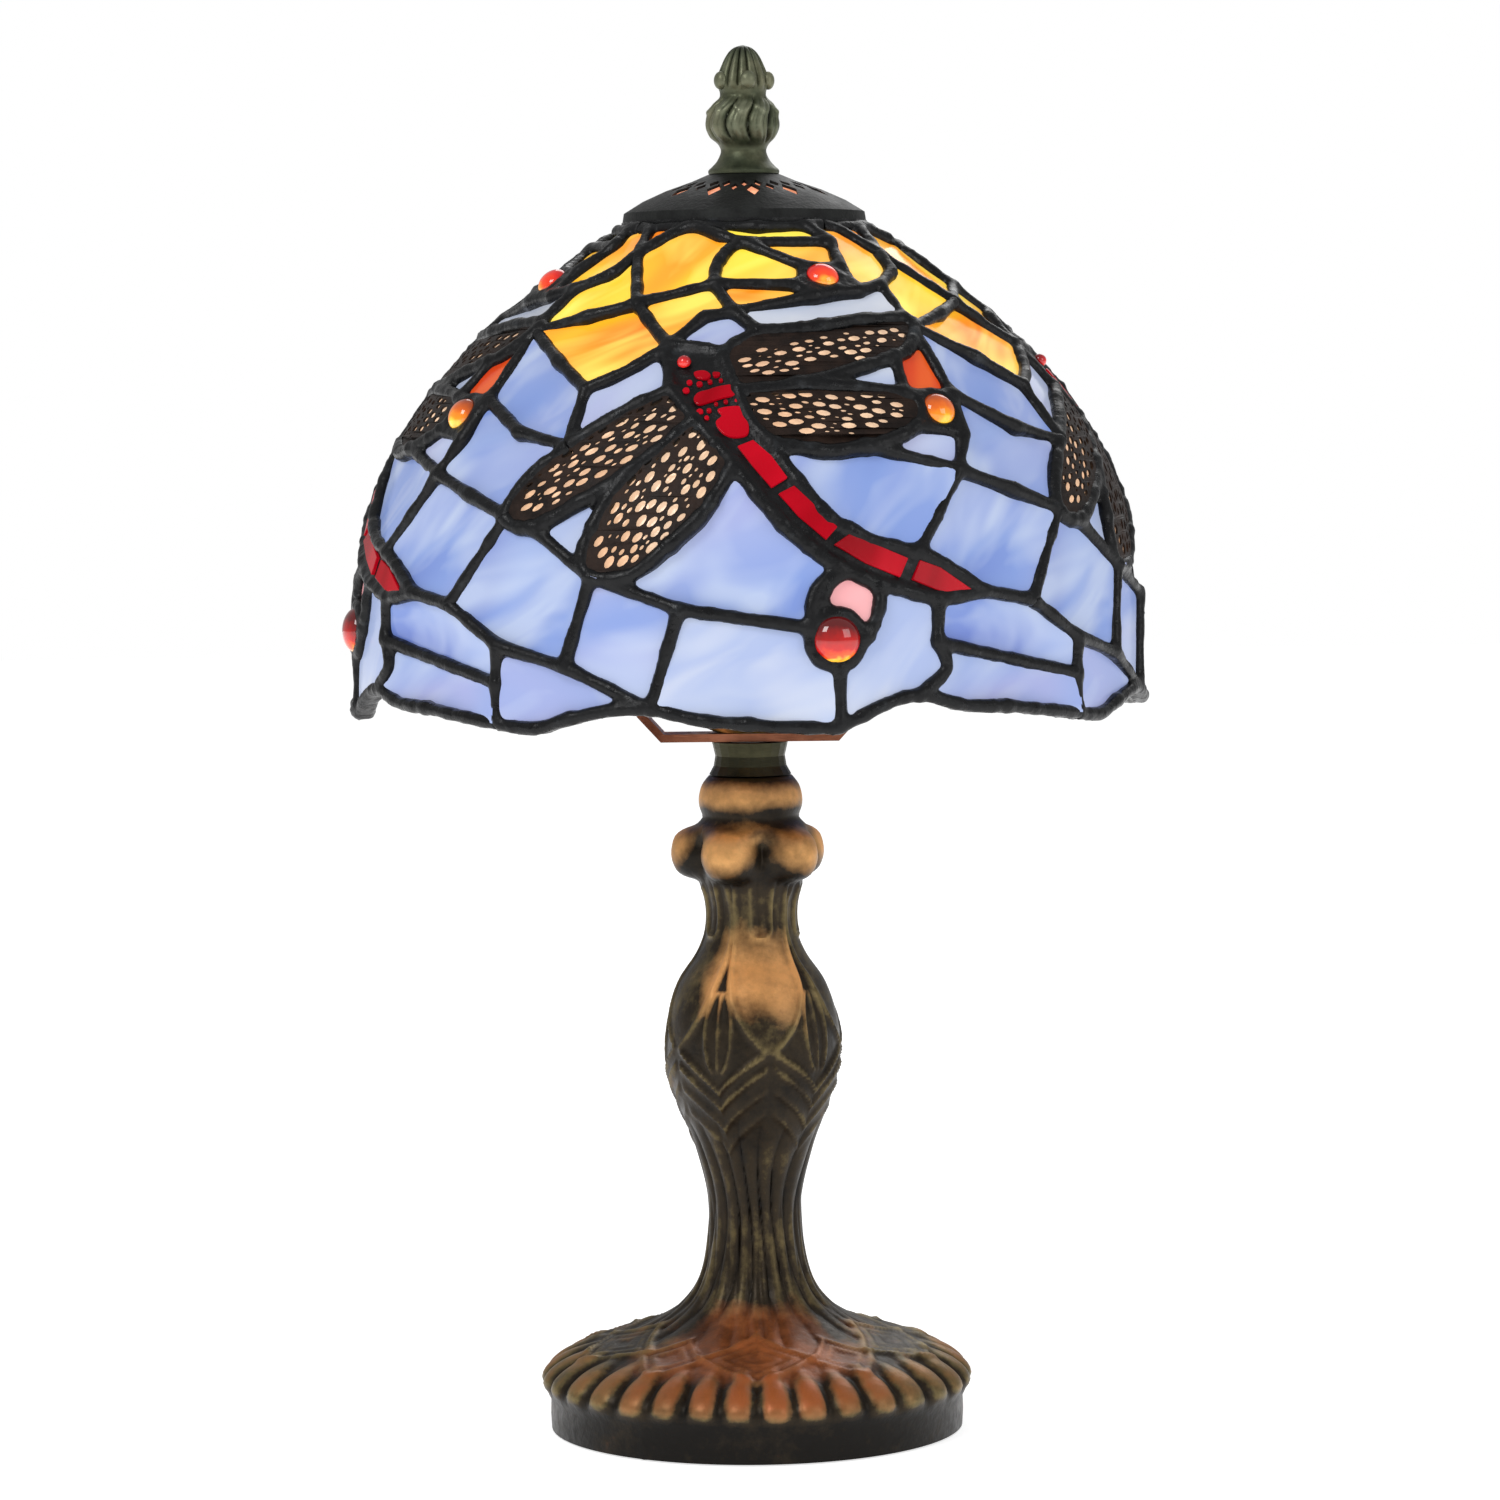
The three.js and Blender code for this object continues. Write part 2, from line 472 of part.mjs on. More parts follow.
// Leading of the whole shade as one closed net: strips between each pane's walk and its inset,
// solid plates on the pads, and walls at the windows, the aperture and the rim.
const buildLeading = () => {
  const points = [];
  const quad = (a, b, c, d) => points.push(a, b, c, a, c, d);
  const skin = (p, offset) => onDome(...p, offset);
  const open = new Map();
  const key = (p) => ((p.x + 720) % 360).toFixed(3) + "/" + p.y.toFixed(3);
  const rememberEdges = (walkPoints) =>
    walkPoints.forEach((p, i) => {
      const q = walkPoints[(i + 1) % walkPoints.length];
      const back = key(q) + ">" + key(p);
      if (open.has(back)) open.delete(back);
      else open.set(key(p) + ">" + key(q), [p, q]);
    });
  const plate = (walkPoints) => {
    const { to } = flatten(walkPoints);
    for (const face of THREE.ShapeUtils.triangulateShape(walkPoints.map(to), [])) {
      const [a, b, c] = face.map((i) => walkPoints[i].toArray());
      points.push(skin(a, LEAD_THICKNESS), skin(b, LEAD_THICKNESS), skin(c, LEAD_THICKNESS));
      points.push(skin(c, 0), skin(b, 0), skin(a, 0));
    }
  };
  for (let quarter = 0; quarter < REPEATS; quarter++) {
    for (const names of Object.values(PANES)) {
      const outline = splitEdges(walk(names, quarter));
      const window = insetWalk(outline, LEAD_HALF_WIDTH);
      rememberEdges(outline);
      if (!window) {
        plate(outline);
        continue;
      }
      outline.forEach((p, i) => {
        const j = (i + 1) % outline.length;
        const [a, b] = [p.toArray(), outline[j].toArray()];
        const [c, d] = [window[j], window[i]];
        const T = LEAD_THICKNESS;
        quad(skin(a, T), skin(b, T), skin(c, T), skin(d, T));
        quad(skin(d, 0), skin(c, 0), skin(b, 0), skin(a, 0));
        quad(skin(d, T), skin(c, T), skin(c, 0), skin(d, 0));
      });
    }
    for (const names of Object.values(PADS)) {
      const outline = splitEdges(walk(names, quarter));
      rememberEdges(outline);
      plate(outline);
    }
  }
  for (const [p, q] of open.values()) {
    const [a, b] = [p.toArray(), q.toArray()];
    quad(skin(a, 0), skin(b, 0), skin(b, LEAD_THICKNESS), skin(a, LEAD_THICKNESS));
  }
  return trianglesToGeometry(points);
};
place("solder_lattice", buildLeading(), solder, shade);

// Plate that follows the dome over a walk: a patch of shell trimmed by a prism along the normals.
const plateOver = (names, quarter, margin, bottom, top) => {
  const outline = insetWalk(splitEdges(walk(names, quarter)), margin);
  const { to } = flatten(outline.map((p) => new THREE.Vector2(...p)));
  const flat = outline.map((p) => to(new THREE.Vector2(...p)));
  const prism = [];
  const [below, above] = [bottom - 6, top + 6];
  for (const face of THREE.ShapeUtils.triangulateShape(flat, [])) {
    const [a, b, c] = face.map((i) => outline[i]);
    prism.push(onDome(...a, above), onDome(...b, above), onDome(...c, above));
    prism.push(onDome(...c, below), onDome(...b, below), onDome(...a, below));
  }
  outline.forEach((a, i) => {
    const b = outline[(i + 1) % outline.length];
    const corners = [onDome(...a, below), onDome(...b, below), onDome(...b, above), onDome(...a, above)];
    const [p, q, r, s] = corners;
    prism.push(p, q, r, p, r, s);
  });
  const [azimuths, heights] = [outline.map((p) => p[0]), outline.map((p) => p[1])];
  const [west, east] = [Math.min(...azimuths) - 1, Math.max(...azimuths) + 1];
  const [low, high] = [Math.min(...heights) - 1, Math.max(...heights) + 1];
  const corner = (u, v) => [west + u * (east - west), low + v * (high - low)];
  const columns = Math.ceil((east - west) / 11);
  const rows = Math.ceil((high - low) / 13);
  const patch = domeShell(corner, columns, rows, top, bottom);
  return geometryOf(solidOf(patch).intersect(solidOf(trianglesToGeometry(prism))));
};

// Low round cabochon standing on its pad.
const jewel = (azimuth, height, radius, rise) => {
  const steps = 3;
  const crest = Array.from({ length: steps + 1 }, (_, i) => {
    const a = (i / steps) * (Math.PI / 2);
    return [radius * Math.cos(a), 1 + (rise - 1) * Math.sin(a)];
  });
  const [outward, upward] = domeNormal(height);
  const a = rad(azimuth);
  const normal = new THREE.Vector3(outward * Math.sin(a), -outward * Math.cos(a), upward);
  const facing = new THREE.Quaternion().setFromUnitVectors(new THREE.Vector3(0, 0, 1), normal);
  return turned([[0, 0], [radius, 0], ...crest], 10)
    .applyQuaternion(facing)
    .translate(...onDome(azimuth, height, LEAD_THICKNESS + FIT_GAP).toArray());
};

const CROWN_JEWEL = { azimuth: 21.5, height: 289.6, radius: 4.1, rise: 2.6 };
const AMBER_JEWEL = { azimuth: 33.6, height: 257.4, radius: 4.2, rise: 2.8 };
const RUBY_JEWEL = { azimuth: 11.9, height: 204.6, radius: 5.5, rise: 3.4 };
const plateFoot = LEAD_THICKNESS + 1;
const plateMargin = LEAD_HALF_WIDTH - 0.7;
for (let quarter = 0; quarter < REPEATS; quarter++) {
  const n = quarter + 1;
  const wing = (names) => plateOver(names, quarter, plateMargin, plateFoot, plateFoot + 0.8);
  place("wings_right_" + n, wing(PANES.wing_pane_right), filigree, shade);
  place("wings_left_" + n, wing(PANES.wing_pane_left), filigree, shade);
  const body = plateOver(PANES.body_pane, quarter, plateMargin, plateFoot, plateFoot + 1.6);
  place("dragonfly_body_" + n, body, redGlass, shade);
  const stones = { crown: CROWN_JEWEL, amber: AMBER_JEWEL, ruby: RUBY_JEWEL };
  for (const [kind, { azimuth, height, radius, rise }] of Object.entries(stones)) {
    const material = kind === "ruby" ? rubyJewel : amberJewel;
    const stone = jewel(azimuth + QUARTER * quarter, height, radius, rise);
    place(kind + "_jewel_" + n, stone, material, shade);
  }
}

// Glass: the panes of each quarter as two shells under the leading, an amber crown and a blue field.
const rimHeight = (azimuth) => {
  const local = ((azimuth % QUARTER) + QUARTER) % QUARTER;
  const from = (name, turns = 0) => [JUNCTIONS[name][0] + turns * QUARTER, JUNCTIONS[name][1]];
  const knots = [
    from("rimMidB"), from("rimLow"), from("rimHighEast"), from("rimMidC"), from("rimHeel", 1),
    from("rimMidA", 1), from("rimHighWest", 1), from("rimMidB", 1),
  ];
  const next = Math.max(1, knots.findIndex(([a]) => a >= local));
  const [[a0, h0], [a1, h1]] = [knots[next - 1], knots[next]];
  return h0 + ((h1 - h0) * (local - a0)) / (a1 - a0);
};
const CROWN_FOOT = 277;
const glassTop = -1.2;
const seam = 0.25;
for (let quarter = 0; quarter < REPEATS; quarter++) {
  const start = QUARTER * quarter + seam;
  const azimuthAt = (u) => start + u * (QUARTER - 2 * seam);
  const crown = (u, v) => [azimuthAt(u), CROWN_FOOT + v * (APERTURE_HEIGHT - 0.6 - CROWN_FOOT)];
  const field = (u, v) => {
    const foot = rimHeight(azimuthAt(u)) + 0.6;
    return [azimuthAt(u), foot + v ** 0.75 * (CROWN_FOOT - 0.5 - foot)];
  };
  const shell = (corner, rows) =>
    domeShell(corner, 9, rows, glassTop, glassTop - GLASS_THICKNESS);
  place("crown_glass_" + (quarter + 1), shell(crown, 3), amberGlass, shade);
  place("field_glass_" + (quarter + 1), shell(field, 5), blueGlass, shade);
}

// Wire soldered round the scalloped rim, a closed loop of six-sided strip.
const wireRing = (azimuth) =>
  Array.from({ length: 6 }, (_, side) => {
    const a = (side * TURN) / 6;
    const centre = onDome(azimuth, rimHeight(azimuth) - 2, LEAD_THICKNESS / 2);
    const outward = new THREE.Vector3(Math.sin(rad(azimuth)), -Math.cos(rad(azimuth)), 0);
    return centre.addScaledVector(outward, Math.cos(a)).add(new THREE.Vector3(0, 0, Math.sin(a)));
  });
const wireSteps = 48;
const wireRings = Array.from({ length: wireSteps }, (_, i) => wireRing((i * 360) / wireSteps + 3.3));
const wireFaces = wireRings.flatMap((near, i) => {
  const far = wireRings[(i + 1) % wireSteps];
  return near.flatMap((p, side) => {
    const next = (side + 1) % near.length;
    return [p, far[side], far[next], p, far[next], near[next]];
  });
});
place("rim_wire", trianglesToGeometry(wireFaces), solder, shade);

// ---- crown fittings: aperture ring, vented cap, washer and finial --------------------------------
const apertureRadius = domeRadius(APERTURE_HEIGHT);
const apertureLevel = shade.position.z + APERTURE_HEIGHT;
place("aperture_ring", ring(
  apertureRadius - 4.4, apertureRadius - 0.9, apertureLevel + 0.6, apertureLevel + 2.2, 28,
), brass);

const capEdge = apertureRadius - 1;
const capFoot = apertureLevel + 2.6;
const capRise = CAP_TOP - capFoot;
const capOutline = (drop) => [
  [capEdge, capFoot + 1.2 - drop], [0.83 * capEdge, capFoot + 0.4 * capRise - drop],
  [0.64 * capEdge, capFoot + 0.63 * capRise - drop], [0.43 * capEdge, capFoot + 0.84 * capRise - drop],
  [9.5, CAP_TOP - drop],
];
const capBore = STUD_RADIUS + FIT_GAP + 0.3;
const capBlank = turned([
  [capBore, CAP_TOP - 1.2], ...capOutline(1.2).reverse(), ...capOutline(0), [capBore, CAP_TOP],
], 28);
// Rows of small square vents, set cornerwise, in four clusters.
const vent = (azimuth, radius) =>
  new THREE.BoxGeometry(1.8, 1.8, 16)
    .rotateZ(Math.PI / 4)
    .translate(radius, 0, capFoot + 0.6 * capRise)
    .rotateZ(rad(azimuth));
const vents = [];
for (let cluster = 0; cluster < REPEATS; cluster++) {
  const centre = QUARTER * (cluster + 0.5);
  for (const spread of [-13, 13]) vents.push(vent(centre + spread, 0.6 * capEdge));
  for (const spread of [-18, 0, 18]) vents.push(vent(centre + spread, 0.74 * capEdge));
}
place("vented_cap", cut(capBlank, vents), blackened);
place("seat_washer", ring(
  STUD_RADIUS + FIT_GAP + 0.2, 9, STRAP_TOP + FIT_GAP, CAP_TOP - 1.5, 20,
), brass);

const finialOutline = [
  [8.8, 0], [8.8, 0.8], [6.6, 3.2], [5.6, 5.6], [6.8, 8], [8.8, 11.5], [7.7, 16], [5.9, 18.4],
  [6.8, 21], [6.7, 23.4], [5.2, 26], [4.3, 28.5], [2.5, 31.2], [0, 32.2],
];
const insertRadius = STUD_RADIUS + 1.7;
place("finial", turned([
  ...finialOutline, [0, 14], [insertRadius + FIT_GAP, 14], [insertRadius + FIT_GAP, 0],
], 16), verdigris).position.z = FINIAL_FOOT;
place("finial_insert", ring(STUD_RADIUS + FIT_GAP, insertRadius, 0.1, 13.4, 16), brass)
  .position.z = FINIAL_FOOT;

export default lamp;
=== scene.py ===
"""Leaded-glass dragonfly table lamp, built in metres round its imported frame.

Each sub-assembly is a class that makes its own meshes and dresses them: the studio, the cast base,
the shade with its leading, panes, wings and jewels, and the crown fittings. The inner parts keep
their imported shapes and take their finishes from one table.
"""

from __future__ import annotations

import logging
import math
from dataclasses import dataclass, field
from enum import Enum
from itertools import pairwise
from typing import Iterable, Sequence

import bpy
import numpy as np
from mathutils import Matrix, Vector


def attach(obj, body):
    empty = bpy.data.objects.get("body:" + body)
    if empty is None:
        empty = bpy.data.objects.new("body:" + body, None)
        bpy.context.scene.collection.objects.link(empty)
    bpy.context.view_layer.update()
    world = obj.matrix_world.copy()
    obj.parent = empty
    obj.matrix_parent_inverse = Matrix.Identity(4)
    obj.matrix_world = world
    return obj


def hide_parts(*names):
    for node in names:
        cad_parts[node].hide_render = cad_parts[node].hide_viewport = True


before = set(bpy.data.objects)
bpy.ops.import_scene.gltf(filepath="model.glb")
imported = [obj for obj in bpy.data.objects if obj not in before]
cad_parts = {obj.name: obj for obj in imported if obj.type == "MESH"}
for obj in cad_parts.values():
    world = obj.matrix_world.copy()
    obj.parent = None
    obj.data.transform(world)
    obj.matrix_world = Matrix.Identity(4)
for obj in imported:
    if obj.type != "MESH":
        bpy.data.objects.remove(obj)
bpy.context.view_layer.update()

log = logging.getLogger("dragonfly_lamp")

MM = 0.001
TURN = 2.0 * math.pi
QUARTERS = 4
Point2 = tuple[float, float]
Piece = bpy.types.Object
Socket = bpy.types.NodeSocket


# ---- workbench -----------------------------------------------------------------------------------


def deselect_all() -> None:
    """Leaves nothing selected, in object mode."""
    if bpy.context.object and bpy.context.object.mode != "OBJECT":
        bpy.ops.object.mode_set(mode="OBJECT")
    bpy.ops.object.select_all(action="DESELECT")


def take(*pieces: Piece) -> None:
    """Selects these pieces only and makes the first one active.

    Args:
        pieces: The pieces, at least one.
    """
    deselect_all()
    for piece in pieces:
        piece.select_set(True)
    bpy.context.view_layer.objects.active = pieces[0]


def edit(piece: Piece, select: str = "SELECT") -> None:
    """Opens a piece in edit mode.

    Args:
        piece: The piece to open.
        select: SELECT or DESELECT, for all of its vertices.
    """
    take(piece)
    bpy.ops.object.mode_set(mode="EDIT")
    bpy.ops.mesh.select_mode(type="VERT")
    bpy.ops.mesh.select_all(action=select)


def leave_edit() -> None:
    """Goes back to object mode."""
    bpy.ops.object.mode_set(mode="OBJECT")


def joined(name: str, pieces: Sequence[Piece]) -> Piece:
    """Joins pieces into one.

    Args:
        name: Name of the joined piece.
        pieces: The pieces, at least one.

    Returns:
        The joined piece.
    """
    take(*pieces)
    if len(pieces) > 1:
        bpy.ops.object.join()
    whole = bpy.context.view_layer.objects.active
    whole.name = name
    return whole


def settle(piece: Piece) -> None:
    """Puts a piece's place into its mesh, so that its object sits at the origin."""
    take(piece)
    bpy.ops.object.transform_apply(location=True, rotation=True, scale=True)


def coordinates(piece: Piece) -> np.ndarray:
    """Reads a piece's vertices.

    Args:
        piece: The piece to read.

    Returns:
        One row of x, y and z for each vertex.
    """
    flat = np.empty(len(piece.data.vertices) * 3)
    piece.data.vertices.foreach_get("co", flat)
    return flat.reshape(-1, 3)


def reshape(piece: Piece, points: np.ndarray) -> None:
    """Moves a piece's vertices to these points."""
    piece.data.vertices.foreach_set("co", np.asarray(points, float).ravel())
    piece.data.update()


def loop_of(name: str, points: Sequence[Sequence[float]], fill: str = "NGON") -> Piece:
    """Makes a closed loop from a primitive circle with its vertices moved to the points.

    Args:
        name: Name of the new piece.
        points: The loop's points in order.
        fill: NGON for a face inside the loop, NOTHING for a bare wire.

    Returns:
        The new piece.
    """
    deselect_all()
    bpy.ops.mesh.primitive_circle_add(vertices=len(points), radius=1.0, fill_type=fill, calc_uvs=False)
    piece = bpy.context.object
    piece.name = name
    reshape(piece, np.array([tuple(p) + (0.0,) * (3 - len(p)) for p in points]))
    return piece


def turned(name: str, outline: Sequence[Point2], steps: int, smooth: bool = True) -> Piece:
    """Spins a closed outline round the Z axis.

    Args:
        name: Name of the new piece.
        outline: Closed [radius, height] outline in metres.
        steps: Steps in the full turn.
        smooth: Whether faces at under 35 degrees are shaded as one.

    Returns:
        The new piece, closed and facing out.
    """
    piece = loop_of(name, [(r, 0.0, z) for r, z in outline], fill="NOTHING")
    edit(piece)
    bpy.ops.mesh.spin(steps=steps, angle=TURN, center=(0, 0, 0), axis=(0, 0, 1), use_auto_merge=True)
    bpy.ops.mesh.select_all(action="SELECT")
    bpy.ops.mesh.remove_doubles(threshold=1e-6)
    bpy.ops.mesh.dissolve_degenerate(threshold=1e-6)
    bpy.ops.mesh.select_all(action="SELECT")
    bpy.ops.mesh.normals_make_consistent(inside=False)
    leave_edit()
    if smooth:
        smooth_under(piece, 35)
    return piece


def smooth_under(piece: Piece, degrees: float) -> None:
    """Shades faces that meet at less than an angle as one."""
    take(piece)
    bpy.ops.object.shade_smooth_by_angle(angle=math.radians(degrees))


def apply_modifier(piece: Piece, kind: str, **settings: object) -> None:
    """Adds a modifier with its settings and applies it at once.

    Args:
        piece: The piece to change.
        kind: Blender's name for the modifier.
        settings: Its settings by name.
    """
    take(piece)
    modifier = piece.modifiers.new(kind.title(), kind)
    for key, value in settings.items():
        setattr(modifier, key, value)
    bpy.ops.object.modifier_apply(modifier=modifier.name)


def quarter_copy(piece: Piece, name: str, quarter: int) -> Piece:
    """Copies a piece with its own mesh and turns the copy about the lamp's axis.

    Args:
        piece: The piece made for the first quarter.
        name: Name of the copy.
        quarter: How many quarter turns to give it.

    Returns:
        The copy.
    """
    copy = piece.copy()
    copy.data = piece.data.copy()
    copy.name = name
    bpy.context.scene.collection.objects.link(copy)
    copy.data.transform(Matrix.Rotation(quarter * TURN / QUARTERS, 4, "Z"))
    return copy


def note(piece: Piece) -> None:
    """Reports a finished piece."""
    log.info("%s: %d faces", piece.name, len(piece.data.polygons))


def attribute(piece: Piece, name: str, values: np.ndarray) -> None:
    """Stores one number for each vertex, for a material to read.

    Args:
        piece: The piece.
        name: Name of the attribute.
        values: One number for each vertex.
    """
    layer = piece.data.attributes.get(name) or piece.data.attributes.new(name, "FLOAT", "POINT")
    layer.data.foreach_set("value", np.asarray(values, np.float32))


# ---- finishes ------------------------------------------------------------------------------------

Colour = tuple[float, float, float]


def shade(red: int, green: int, blue: int) -> Colour:
    """Turns a colour as seen on a screen into linear light.

    Args:
        red: Red, 0 to 255.
        green: Green, 0 to 255.
        blue: Blue, 0 to 255.

    Returns:
        The three channels, 0 to 1.
    """
    def linear(v: int) -> float:
        """Linear light of one channel."""
        c = v / 255
        return c / 12.92 if c <= 0.04045 else ((c + 0.055) / 1.055) ** 2.4

    return linear(red), linear(green), linear(blue)


class Space(Enum):
    """The coordinates that a pattern reads."""

    OBJECT = "Object"
    UV = "UV"


class Sketch:
    """A material's node tree while it is being drawn."""

    def __init__(self, name: str) -> None:
        """Starts a material with its Principled shader.

        Args:
            name: Name of the material.
        """
        self.material = bpy.data.materials.new(name)
        self.material.use_nodes = True
        self.tree = self.material.node_tree
        self.shader = self.tree.nodes["Principled BSDF"]

    def node(self, kind: str, inputs: dict[str, object] | None = None,
             **settings: object) -> bpy.types.Node:
        """Adds a node.

        Args:
            kind: Blender's name for the node, without the leading ShaderNode.
            inputs: Sockets to link, or values to set on them, by name.
            settings: The node's own settings.

        Returns:
            The node.
        """
        made = self.tree.nodes.new("ShaderNode" + kind)
        for key, value in settings.items():
            setattr(made, key, value)
        for key, value in (inputs or {}).items():
            self.feed(made.inputs[key], value)
        return made

    def feed(self, socket: Socket, value: object) -> None:
        """Links a socket to another, or sets its value.

        Args:
            socket: The socket to feed.
            value: Another node's socket, a number, or a colour of three channels.
        """
        if isinstance(value, Socket):
            self.tree.links.new(value, socket)
        elif isinstance(value, tuple) and len(value) == 3 and socket.type == "RGBA":
            socket.default_value = (*value, 1.0)
        else:
            socket.default_value = value

    def set(self, **values: object) -> None:
        """Sets the shader's sockets, given with _ for a space."""
        for key, value in values.items():
            self.feed(self.shader.inputs[key.replace("_", " ")], value)

    def space(self, space: Space = Space.OBJECT,
              scale: tuple[float, float, float] = (1, 1, 1)) -> Socket:
        """Reads the piece's coordinates.

        Args:
            space: Which coordinates.
            scale: How far they are stretched along each axis.

        Returns:
            The stretched coordinates.
        """
        source = self.node("TexCoord").outputs[space.value]
        mapping = self.node("Mapping", {"Vector": source})
        mapping.inputs["Scale"].default_value = scale
        return mapping.outputs["Vector"]

    def noise(self, vector: Socket, scale: float, detail: float = 4.0,
              roughness: float = 0.55, distortion: float = 0.0) -> Socket:
        """Draws a cloudy noise.

        Args:
            vector: The coordinates that it reads.
            scale: How many clouds there are in a metre.
            detail: How many finer octaves are added.
            roughness: How strong those are.
            distortion: How far the clouds are pulled about.

        Returns:
            A value from 0 to 1.
        """
        return self.node("TexNoise", {
            "Vector": vector, "Scale": scale, "Detail": detail,
            "Roughness": roughness, "Distortion": distortion,
        }).outputs["Fac"]

    def value(self, name: str) -> Socket:
        """Returns a number stored on the vertices."""
        return self.node("Attribute", attribute_name=name, attribute_type="GEOMETRY").outputs["Fac"]

    def ramp(self, factor: Socket, stops: Sequence[tuple[float, Colour]]) -> Socket:
        """Turns a number into a colour.

        Args:
            factor: The number, 0 to 1.
            stops: Colours, each with the number that gives it.

        Returns:
            The colour, which runs from stop to stop.
        """
        made = self.node("ValToRGB", {"Fac": factor})
        elements = made.color_ramp.elements
        while len(elements) < len(stops):
            elements.new(0.5)
        for element, (place, colour) in zip(elements, stops):
            element.position = place
            element.color = (*colour, 1.0)
        return made.outputs["Color"]

    def span(self, factor: Socket, low: float, high: float,
             start: float = 0.0, end: float = 1.0) -> Socket:
        """Maps one span of numbers to another and clamps it.

        Args:
            factor: The number.
            low: The number that gives start.
            high: The number that gives end.
            start: What low becomes.
            end: What high becomes.

        Returns:
            The mapped number.
        """
        return self.node("MapRange", {
            "Value": factor, "From Min": low, "From Max": high, "To Min": start, "To Max": end,
        }).outputs["Result"]

    def math(self, operation: str, first: object, second: object) -> Socket:
        """Works out a sum on two numbers.

        Args:
            operation: ADD, SUBTRACT or MULTIPLY.
            first: The first number.
            second: The second number.

        Returns:
            The result.
        """
        made = self.node("Math", operation=operation)
        self.feed(made.inputs[0], first)
        self.feed(made.inputs[1], second)
        return made.outputs["Value"]

    def mix(self, factor: object, first: object, second: object) -> Socket:
        """Mixes two colours.

        Args:
            factor: Share of the second colour.
            first: The first colour.
            second: The second colour.

        Returns:
            The mixture.
        """
        made = self.node("Mix", data_type="RGBA")
        self.feed(made.inputs["Factor"], factor)
        for socket, colour in ((made.inputs[6], first), (made.inputs[7], second)):
            self.feed(socket, colour)
        return made.outputs[2]

    def bump(self, height: Socket, distance: float, strength: float = 1.0) -> None:
        """Gives the shader a bump from a height of 0 to 1, in metres."""
        made = self.node("Bump", {"Height": height, "Distance": distance, "Strength": strength})
        self.set(Normal=made.outputs["Normal"])


class Finish:
    """A finish that can dress pieces; its material is drawn once."""

    name: str
    slot: str

    def draw(self, art: Sketch) -> None:
        """Draws the material in its node tree."""
        raise NotImplementedError

    def material(self) -> bpy.types.Material:
        """Finds the material, or draws it the first time it is asked for.

        Returns:
            The material.
        """
        known = bpy.data.materials.get(self.name)
        if known:
            return known
        art = Sketch(self.name)
        self.draw(art)
        return art.material

    def dress(self, piece: Piece) -> None:
        """Makes this the piece's only material.

        Args:
            piece: The piece to dress.
        """
        piece.data.materials.clear()
        piece.data.materials.append(self.material())


@dataclass(frozen=True)
class OpalGlass(Finish):
    """Streaked opalescent sheet glass, lit from inside the shade.

    The streaks run along the pane's own UV map, and each pane's tone shifts the colour.
    """

    name: str
    slot: str
    stops: tuple[tuple[float, Colour], ...]
    wisp: Colour
    wisp_share: float = 0.5
    glow: float = 0.5
    gloss: float = 0.4
    streak: float = 36.0

    def draw(self, art: Sketch) -> None:
        """Draws streaks, wisps, a soft glow and a rippled gloss.

        Args:
            art: The node tree to draw in.
        """
        along = art.space(Space.UV, (1.0, 0.42, 1.0))
        broad = art.noise(along, self.streak, detail=1.5, roughness=0.45, distortion=0.5)
        tone = art.value("tone")
        place = art.math("ADD", broad, art.math("MULTIPLY", art.math("SUBTRACT", tone, 0.5), 0.55))
        body = art.ramp(place, self.stops)
        fine = art.noise(along, self.streak * 1.7, detail=2.0, roughness=0.45, distortion=1.1)
        share = art.span(fine, 0.42, 0.72, 0.0, self.wisp_share)
        colour = art.mix(share, body, self.wisp)
        art.set(Base_Color=colour, Emission_Color=colour, Emission_Strength=self.glow)
        art.set(Roughness=0.16, IOR=1.45, Specular_IOR_Level=self.gloss)
        art.set(Coat_Weight=0.25 * self.gloss, Coat_Roughness=0.06)
        ripple = art.noise(art.space(Space.UV), 70.0, detail=1.0)
        art.bump(ripple, 0.0006, 0.25)


@dataclass(frozen=True)
class JewelGlass(Finish):
    """Clear pressed cabochon, dark at its top and bright where the light gathers at its foot."""

    name: str
    slot: str
    stops: tuple[tuple[float, Colour], ...]
    glow: float = 0.5

    def draw(self, art: Sketch) -> None:
        """Draws the light gathered low in the stone under a hard polish.

        Args:
            art: The node tree to draw in.
        """
        swirl = art.noise(art.space(), 260.0, detail=2.0)
        place = art.math("ADD", art.value("depth"), art.span(swirl, 0.3, 0.7, -0.1, 0.1))
        colour = art.ramp(place, self.stops)
        art.set(Base_Color=colour, Emission_Color=colour, Emission_Strength=self.glow)
        art.set(Roughness=0.04, IOR=1.52, Coat_Weight=0.6, Coat_Roughness=0.02)


@dataclass(frozen=True)
class SolderBead(Finish):
    """Solder under black patina, with a faint gloss and greyer rubbed places."""

    name: str = "black_patina_solder"
    slot: str = "solder"

    def draw(self, art: Sketch) -> None:
        """Draws blotched black with pitted gloss.

        Args:
            art: The node tree to draw in.
        """
        here = art.space()
        blotch = art.noise(here, 120.0, detail=5.0, roughness=0.6)
        greys = ((0.35, shade(10, 10, 12)), (0.6, shade(19, 20, 22)), (0.8, shade(56, 60, 64)))
        colour = art.ramp(blotch, greys)
        art.set(Base_Color=colour, Metallic=0.2, Specular_IOR_Level=0.32)
        art.set(Roughness=art.span(art.noise(here, 300.0), 0.3, 0.7, 0.2, 0.5))
        art.bump(art.noise(here, 700.0, detail=4.0), 0.0005, 0.5)


